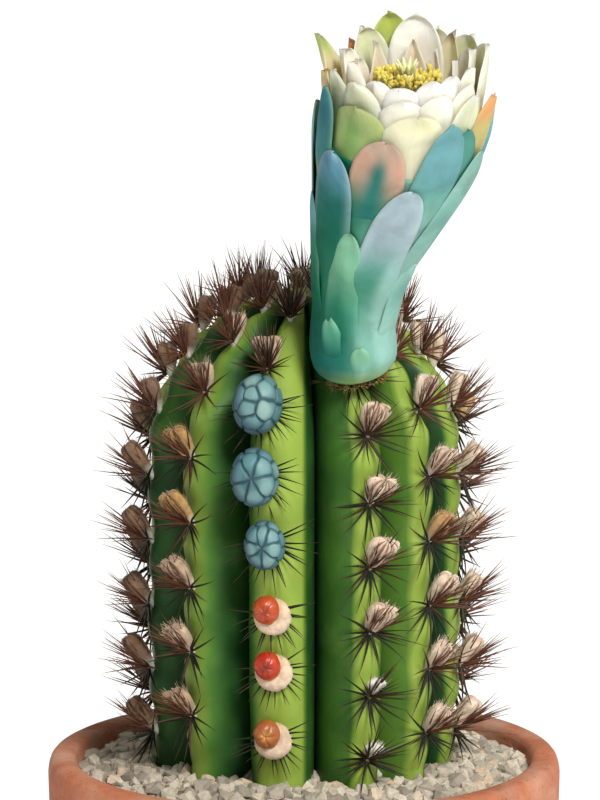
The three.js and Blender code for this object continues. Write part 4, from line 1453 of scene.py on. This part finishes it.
def tube_paint_and_light(along, bearing):
    """The tube's own colour: deep teal on its left and low down, pale aqua on its right."""
    # Painted light: paler towards the right front, where the key light falls.
    pale = 0.5 + 0.5 * np.cos(bearing - math.radians(62))
    streaks = 0.2 * np.sin(bearing * 9 + 0.12 * along) + 0.16 * np.sin(bearing * 5 - 0.2 * along + 2)
    pale = np.clip(pale**2.2 + streaks * 0.45, 0, 1)
    paint = blend_colours(TEAL, SEA_GREEN, smoothstep(0.0, 0.5, pale))
    paint = blend_colours(paint, AQUA, smoothstep(0.4, 0.95, pale))
    # Painted shade low down on the tube's left.
    painted_shade_low_left = smoothstep(14, 3, along) * smoothstep(0.3, -0.6, np.sin(bearing))
    paint = blend_colours(paint, linear(30, 104, 104), painted_shade_low_left * 0.7)
    # Painted light near the foot on the right front.
    glow = smoothstep(5.0, 1.2, along) * smoothstep(-0.5, 0.8, np.cos(bearing - math.radians(40)))
    return blend_colours(paint, linear(150, 182, 112), glow * 0.8)


def blade_outline(level, foot, pointed):
    """A blade's width along it, as a share: wide above the middle, with a round or pointed tip."""
    swell = foot + (1 - foot) * smoothstep(0.0, 0.62, level)
    shoulder = 0.66 - 0.1 * pointed
    past = np.clip((level - shoulder) / (1 - shoulder), 0, 1)
    round_tip = np.sqrt(np.maximum(1 - past**2.2, 0))
    sharp_tip = 1 - past**1.15
    return swell * (round_tip * (1 - pointed) + sharp_tip * pointed)


def add_blade(shape, row, random, cup, thickness, foot_width, relief, sink):
    """One scale or petal: an arched shell with thin edges, a soft midrib and a slightly wavy tip."""
    bearing, start, tip, width, inset, flare, finish = row
    foot, body, end, edge, stripe, tip_from, edge_share, stripe_share, pointed = BLADE_FINISHES[finish]
    lower = np.linspace(0, 0.7, 12, endpoint=False)
    levels = np.concatenate([lower, np.linspace(0.7, 0.985, 13), [0.996, 1.0]])
    across = np.linspace(-1, 1, 15)
    level, u = np.meshgrid(levels, across, indexing="ij")
    phase = random.uniform(0, math.tau)
    centre_bearing = math.radians(bearing)
    along = start + (tip - start) * level
    waves = np.sin(u * 3.1 + phase) * 0.5 + np.sin(u * 6.3 + 2 * phase) * 0.3
    along = along + 0.28 * waves * smoothstep(0.6, 1, level) * (width / 8)
    sunk = sink[0] * (1 - smoothstep(0.0, sink[1], level))
    radius = flower_radius(along) - inset - sunk + flare * level**3
    radius = radius - cup * u**2 * smoothstep(0.1, 0.9, level)
    radius = radius + relief * (0.5 * np.exp(-((u / 0.22) ** 2)) - 0.25) * smoothstep(0.2, 0.6, level)
    ruffle = np.sin(u * 4.2 + 5 * level + phase) * 0.16 * smoothstep(0.35, 1, level)
    radius = radius + ruffle
    half = width / 2 * blade_outline(level, foot_width, pointed)
    angle = centre_bearing + u * half / np.maximum(radius, 2.0)
    half_thickness = thickness / 2 * (1 - 0.8 * np.abs(u) ** 4) * (1 - 0.75 * smoothstep(0.86, 1, level))
    outer = flower_point(along, angle, radius + half_thickness)
    inner = flower_point(along, angle, radius - half_thickness)
    # Scales without a foot colour take the tube's colour, with its painted light and shade.
    own_foot = tube_paint_and_light(along, angle) if foot is None else foot * np.ones_like(outer)
    reach = (0.3, 0.8) if foot is None else (0.0, 0.42)
    paint = blend_colours(own_foot, body * np.ones_like(outer), smoothstep(*reach, level + 0.05 * waves))
    paint = blend_colours(paint, end, smoothstep(tip_from, min(1.0, tip_from + 0.3), level + 0.04 * waves))
    rim = np.maximum(smoothstep(0.62, 1.0, np.abs(u)), smoothstep(0.93, 1.0, level))
    paint = blend_colours(paint, edge, rim * edge_share * smoothstep(0.25, 0.6, level))
    if stripe is not None:
        line = np.exp(-((u + 0.1 * waves) ** 2) / 0.09)
        line = line * smoothstep(0.02, 0.2, level) * smoothstep(1.0, 0.7, level)
        paint = blend_colours(paint, stripe, line * stripe_share)
    rows, columns = level.shape
    ring = np.concatenate([outer, inner[:, ::-1]], axis=1)
    paint_ring = np.concatenate([paint, paint[:, ::-1]], axis=1)
    across_uv = np.concatenate([u, u[:, ::-1]], axis=1)
    level_uv = np.concatenate([level, level], axis=1)
    uv = np.stack([0.5 + 0.5 * across_uv, level_uv, np.zeros_like(level_uv)], -1)
    faces = grid_faces(rows, 2 * columns, True)
    last = (rows - 1) * 2 * columns
    for j in range(columns - 1):
        faces.append((j + 1, j, 2 * columns - 1 - j, 2 * columns - 2 - j))
        faces.append((last + j, last + j + 1, last + 2 * columns - 2 - j, last + 2 * columns - 1 - j))
    shape.add(ring, faces, paint=paint_ring.reshape(-1, 3), place=uv.reshape(-1, 3))


def laid_out(piece):
    """Turns the stored places on each blade into its UV map."""
    mesh = piece.data
    place = np.zeros(len(mesh.vertices) * 3, np.float32)
    mesh.attributes["place"].data.foreach_get("vector", place)
    corners = np.zeros(len(mesh.loops), np.int32)
    mesh.loops.foreach_get("vertex_index", corners)
    layer = mesh.uv_layers.new(name="blade")
    layer.data.foreach_set("uv", place.reshape(-1, 3)[corners, :2].ravel())
    mesh.attributes.remove(mesh.attributes["place"])
    return piece


def add_tube(shape):
    levels = np.concatenate([[0, 0.12, 0.3, 0.6, 1.0, 1.6, 2.4, 3.4, 4.6], np.linspace(6, 42, 46)])
    segments = 96
    along, turn = np.meshgrid(levels, turns(segments), indexing="ij")
    ridges = 0.1 * np.sin(turn * 7 + 0.05 * along) * smoothstep(3, 10, along)
    radius = flower_radius(along) - 0.55 * smoothstep(3, 12, along) - 0.5 * smoothstep(30, 42, along) + ridges
    points = flower_point(along, turn, radius)
    faces = capped_faces(len(levels), segments)
    place = np.stack([turn / math.tau * 6, along / 20, np.zeros_like(along)], -1)
    shape.add(points, faces, paint=tube_paint_and_light(along, turn).reshape(-1, 3), place=place.reshape(-1, 3))


def make_tube():
    shape = Shape()
    add_tube(shape)
    random = np.random.default_rng(700)
    for row in SCALES:
        add_blade(shape, row, random, cup=0.15, thickness=0.5, foot_width=1.15, relief=0.15, sink=(0.8, 0.4))
    material = painted_finish("flower scales", 0.7, 0.1, Specular_IOR_Level=0.12)
    tube = laid_out(shape.object("scaly_tube", material, recalculate=True))
    dress(tube, "flower_tube")


def petal_material(name):
    finish = painted_finish(name, 0.55, 0.12, Subsurface_Weight=0.35, Specular_IOR_Level=0.25)
    shader = finish.node_tree.nodes["Principled BSDF"]
    shader.inputs["Subsurface Radius"].default_value = (1.0, 0.85, 0.55)
    shader.inputs["Subsurface Scale"].default_value = 0.0016
    return finish


def make_petals():
    whorls = [
        ("petals_outer", "outer_petals", "flower_outer_petals", OUTER_PETALS, 34, 0.6),
        ("petals_middle", "inner_petals", "flower_middle_petals", MIDDLE_PETALS, 36, 0.9),
        ("petals_inner", "inner_petals", "flower_inner_petals", INNER_PETALS, 37.5, 1.1),
        ("petals_heart", "inner_petals", "flower_heart_petals", HEART_PETALS, 39, 0.7),
    ]
    materials = {slot: petal_material(slot.replace("_", " ")) for slot in ("outer_petals", "inner_petals")}
    for seed, (name, slot, node, rows, start, cup) in enumerate(whorls):
        random = np.random.default_rng(800 + seed)
        shape = Shape()
        for bearing, *rest in rows:
            row = (bearing, start, *rest)
            add_blade(shape, row, random, cup, thickness=0.5, foot_width=0.55, relief=0.3, sink=(0.45, 0.3))
        petals = laid_out(shape.object(name, materials[slot], recalculate=True))
        dress(petals, node)


ANTHERS = 230
ANTHER_REACH = 5.3
ANTHER_LEVEL = 54.6
THREAD_FOOT = 44.0
STYLE_FOOT, STYLE_TOP = 43, 54.8
STIGMA_LOBES = 9
LOBE_FOOT, LOBE_TIP = (54.3, 0.5), (57.0, 1.9)


def make_stamens():
    """A crowded ring of threads with an anther on each."""
    random = np.random.default_rng(900)
    material = pollen_finish()
    count = ANTHERS
    bearing = random.uniform(0, math.tau, count)
    reach = ANTHER_REACH * np.sqrt(random.uniform(0.42, 1.0, count))
    top = ANTHER_LEVEL + 1.7 * random.uniform(0, 1, count) - 0.9 * (1 - reach / ANTHER_REACH)
    top = top - 1.1 * (1 - np.cos(bearing))
    foot = flower_point(np.full(count, THREAD_FOOT), bearing, reach * 0.5)
    head = flower_point(top, bearing, reach)
    threads = Bristles()
    way = head - foot
    pale = blend_colours(linear(236, 226, 160), linear(206, 178, 122), random.uniform(0, 1, count))
    threads.add(foot, way, np.linalg.norm(way, axis=1), 0.12, pale)
    inputs = {"Segments": 5, "Sides": 4, "Bend": 1.5, "Taper": 0.35, "Seed": 61}
    filaments = threads.grow("threads", bristle_tree(), material, **inputs)
    grains = Shape()
    ball, faces = round_mesh(2)
    yellow = blend_colours(linear(240, 232, 124), linear(218, 200, 98), random.uniform(0, 1, count))
    for i in range(count):
        axis = unit(way[i] + random.normal(0, 3.0, 3))
        side = unit(np.cross(axis, random.normal(0, 1, 3)))
        other = np.cross(axis, side)
        pinch = 1 - 0.25 * np.exp(-((ball[:, 0] / 0.25) ** 2))
        local = ball[:, :1] * side * 0.42 + ball[:, 1:2] * other * 0.3 * pinch[:, None]
        local = local + ball[:, 2:] * axis * 0.62
        grains.add(head[i] + local, faces, paint=yellow[i])
    anthers = grains.object("anthers", material, recalculate=True)
    stamens = joined_pieces([anthers, filaments], "stamens")
    dress(stamens, "flower_stamens")


def make_style():
    """The style with the spread lobes of its stigma."""
    finish = Finish("stigma", 0.6, Subsurface_Weight=0.2, Subsurface_Scale=0.001)
    shades = [(0.0, linear(214, 214, 140)), (1.0, linear(240, 240, 204))]
    finish.colour(finish.ramp(finish.mapped(finish.noise(900, 4), 0.35, 0.65), shades))
    finish.bump(finish.noise(3200, 3), 0.08, 0.8)
    shape = Shape()
    rows, sides = 12, 16
    along, bearing = np.meshgrid(np.linspace(STYLE_FOOT, STYLE_TOP, rows), turns(sides), indexing="ij")
    radius = 0.75 + 0.35 * smoothstep(STYLE_TOP - 1.8, STYLE_TOP, along)
    shape.add(flower_point(along, bearing, radius), capped_faces(rows, sides))
    ball, ball_faces = round_mesh(3)
    for direction in turns(STIGMA_LOBES):
        start = flower_point(LOBE_FOOT[0], direction, LOBE_FOOT[1])
        end = flower_point(LOBE_TIP[0], direction, LOBE_TIP[1])
        axis = end - start
        side = unit(np.cross(axis, [0.0, 0.0, 1.0]))
        other = unit(np.cross(axis, side))
        slim = 1 - 0.3 * ball[:, 2:]
        local = (ball[:, :1] * side + ball[:, 1:2] * other) * 0.34 * slim + ball[:, 2:] * axis * 0.5
        shape.add((start + end) / 2 + local, ball_faces)
    style = shape.object("style", finish.material, recalculate=True)
    dress(style, "flower_style")


# Stage

SCREEN_CENTRE = (-0.65, 0.0, 128.3)
VIEW_ELEVATION = 12.5
VIEW_HEIGHT = 130.4
SENSOR = 36.0


def add_sun(name, azimuth, elevation, strength, softness, colour):
    lamp = bpy.data.lights.new(name, "SUN")
    lamp.energy = strength
    lamp.angle = math.radians(softness)
    lamp.color = colour
    sun = add_object(name, lamp)
    around, up = math.radians(azimuth), math.radians(elevation)
    towards = Vector((math.sin(around) * math.cos(up), -math.cos(around) * math.cos(up), math.sin(up)))
    sun.rotation_euler = towards.to_track_quat("Z", "Y").to_euler()


def make_stage(settings):
    scene = bpy.context.scene
    scene.view_settings.view_transform = "Standard"
    scene.view_settings.look = "None"
    world = bpy.data.worlds.new("studio")
    world.use_nodes = True
    background = world.node_tree.nodes["Background"]
    background.inputs["Color"].default_value = (1.0, 1.0, 1.0, 1)
    background.inputs["Strength"].default_value = settings.fill_strength
    scene.world = world
    add_sun("key light", settings.key_azimuth, 42, settings.key_strength, 16, (1.0, 0.985, 0.95))
    add_sun("side light", 80, 30, settings.key_strength * 0.2, 40, (0.97, 0.99, 1.0))
    finish = Finish("white floor", 0.9, Specular_IOR_Level=0.1)
    finish.set("Base Color", (*settings.floor_colour, 1))
    finish.set("Emission Color", (1, 1, 1, 1))
    finish.set("Emission Strength", settings.floor_glow)
    floor = Shape()
    reach = 9000
    corners = [(-reach, -reach, 0), (reach, -reach, 0), (reach, reach, 0), (-reach, reach, 0)]
    floor.add(corners, [(0, 1, 2, 3)])
    ground = floor.object("floor", finish.material)
    lens = bpy.data.cameras.new("camera")
    lens.sensor_width = SENSOR
    distance = settings.camera_distance / MM
    lens.lens = SENSOR * distance / VIEW_HEIGHT
    lens.clip_start, lens.clip_end = 0.05, 60
    camera = add_object("camera", lens)
    up = math.radians(VIEW_ELEVATION)
    back = Vector((0, -math.cos(up), math.sin(up)))
    camera.location = (Vector(SCREEN_CENTRE) + back * distance) * MM
    camera.rotation_euler = back.to_track_quat("Z", "Y").to_euler()
    scene.camera = camera


# Settings that a user would change

SPINE_LENGTH = 0.0098


def number(name, about, default, **options):
    return FloatProperty(name=name, description=about, default=default, **options)


def length(name, about, default):
    return number(name, about, default, unit="LENGTH")


def colour(name, about, default):
    return FloatVectorProperty(name=name, description=about, default=tuple(default), subtype="COLOR")


class CactusPotSettings(bpy.types.PropertyGroup):
    rim_radius: length("Rim radius", "Radius of the pot over its rim", 0.042)
    height: length("Height", "Height of the pot", 0.069)
    clay_colour: colour("Clay", "Colour of the fired clay", linear(182, 112, 80))
    stone_size: number("Stone size", "Size of the stones, as a share of the usual", 1.0, subtype="FACTOR")
    stone_colour: colour("Stone", "Colour of the stones", linear(196, 186, 168))
    seed: IntProperty(name="Seed", description="Which scatter of stones is used", default=3)


class CactusStemSettings(bpy.types.PropertyGroup):
    crest_colour: colour("Crests", "Colour of the ribs' crests", linear(142, 166, 70))
    furrow_colour: colour("Furrows", "Colour of the furrows", linear(34, 74, 34))
    spine_length: length("Spines", "Usual length of a spine", SPINE_LENGTH)
    wool_fibres: IntProperty(name="Wool fibres", description="Loose fibres on each areole", default=110)


class CactusFlowerSettings(bpy.types.PropertyGroup):
    bud_colour: colour("Buds", "Colour of the blue buds' scales", linear(136, 168, 160))


class CactusStageSettings(bpy.types.PropertyGroup):
    key_strength: number("Key light", "Strength of the key light", 3.2)
    key_azimuth: number("Key side", "Degrees that the key light stands to the right of the front", 24)
    fill_strength: number("Fill", "Strength of the light from all round", 0.32)
    floor_glow: number("Floor glow", "How far the floor is lifted to white", 0.12)
    floor_colour: colour("Floor", "Colour of the floor", (0.92, 0.92, 0.92))
    camera_distance: length("Camera distance", "From the plant to the camera", 3.0)


# Operators


def dress_soil():
    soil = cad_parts["soil"]
    soil.data.materials.clear()
    soil.data.materials.append(soil_finish())


def operator_for(name, label, about, *steps):
    """An operator class that runs steps, each a function and the settings that it reads, or None."""

    def execute(self, context):
        for make, group in steps:
            if group:
                make(getattr(context.scene, group))
            else:
                make()
        return {"FINISHED"}

    values = {"bl_idname": f"cactus.{name}", "bl_label": label, "__doc__": about, "execute": execute}
    return type(f"CACTUS_OT_{name}", (bpy.types.Operator,), values)


OPERATORS = [
    operator_for("stage", "Stage", "Sets the floor, the lights and the camera", (make_stage, "cactus_stage")),
    operator_for(
        "pot",
        "Pot and soil",
        "Turns the clay pot and dresses the soil in it",
        (make_pot, "cactus_pot"),
        (dress_soil, None),
    ),
    operator_for("gravel", "Gravel", "Scatters crushed stone round the stem", (make_gravel, "cactus_pot")),
    operator_for("stem", "Stem", "Makes the ribbed stem", (make_stem, "cactus_stem")),
    operator_for("wool", "Wool", "Makes each rib's wool", (make_wool, "cactus_stem")),
    operator_for("spines", "Spines", "Makes each rib's spines", (make_spines, "cactus_stem")),
    operator_for(
        "buds",
        "Buds",
        "Makes the blue buds and the young orange ones",
        (make_blue_buds, "cactus_flower"),
        (make_young_buds, None),
    ),
    operator_for(
        "flower",
        "Flower",
        "Makes the flower: its scaly tube, petals, stamens and style",
        (make_tube, None),
        (make_petals, None),
        (make_stamens, None),
        (make_style, None),
    ),
]
SETTINGS = {
    "cactus_pot": CactusPotSettings,
    "cactus_stem": CactusStemSettings,
    "cactus_flower": CactusFlowerSettings,
    "cactus_stage": CactusStageSettings,
}


class CACTUS_PT_panel(bpy.types.Panel):
    """Settings and steps of the cactus"""

    bl_idname = "CACTUS_PT_panel"
    bl_label = "Potted cactus"
    bl_space_type = "VIEW_3D"
    bl_region_type = "UI"
    bl_category = "Cactus"

    def draw(self, context):
        for name, group in SETTINGS.items():
            box = self.layout.box()
            for key in group.__annotations__:
                box.prop(getattr(context.scene, name), key)
        for operator in OPERATORS:
            self.layout.operator(operator.bl_idname)


def register():
    for group in SETTINGS.values():
        bpy.utils.register_class(group)
    for operator in (*OPERATORS, CACTUS_PT_panel):
        bpy.utils.register_class(operator)
    for name, group in SETTINGS.items():
        setattr(bpy.types.Scene, name, PointerProperty(type=group))


def unregister():
    for name in SETTINGS:
        delattr(bpy.types.Scene, name)
    for operator in (CACTUS_PT_panel, *reversed(OPERATORS)):
        bpy.utils.unregister_class(operator)
    for group in SETTINGS.values():
        bpy.utils.unregister_class(group)


def main():
    register()
    for operator in OPERATORS:
        group, name = operator.bl_idname.split(".")
        getattr(getattr(bpy.ops, group), name)()


if __name__ == "__main__":
    main()
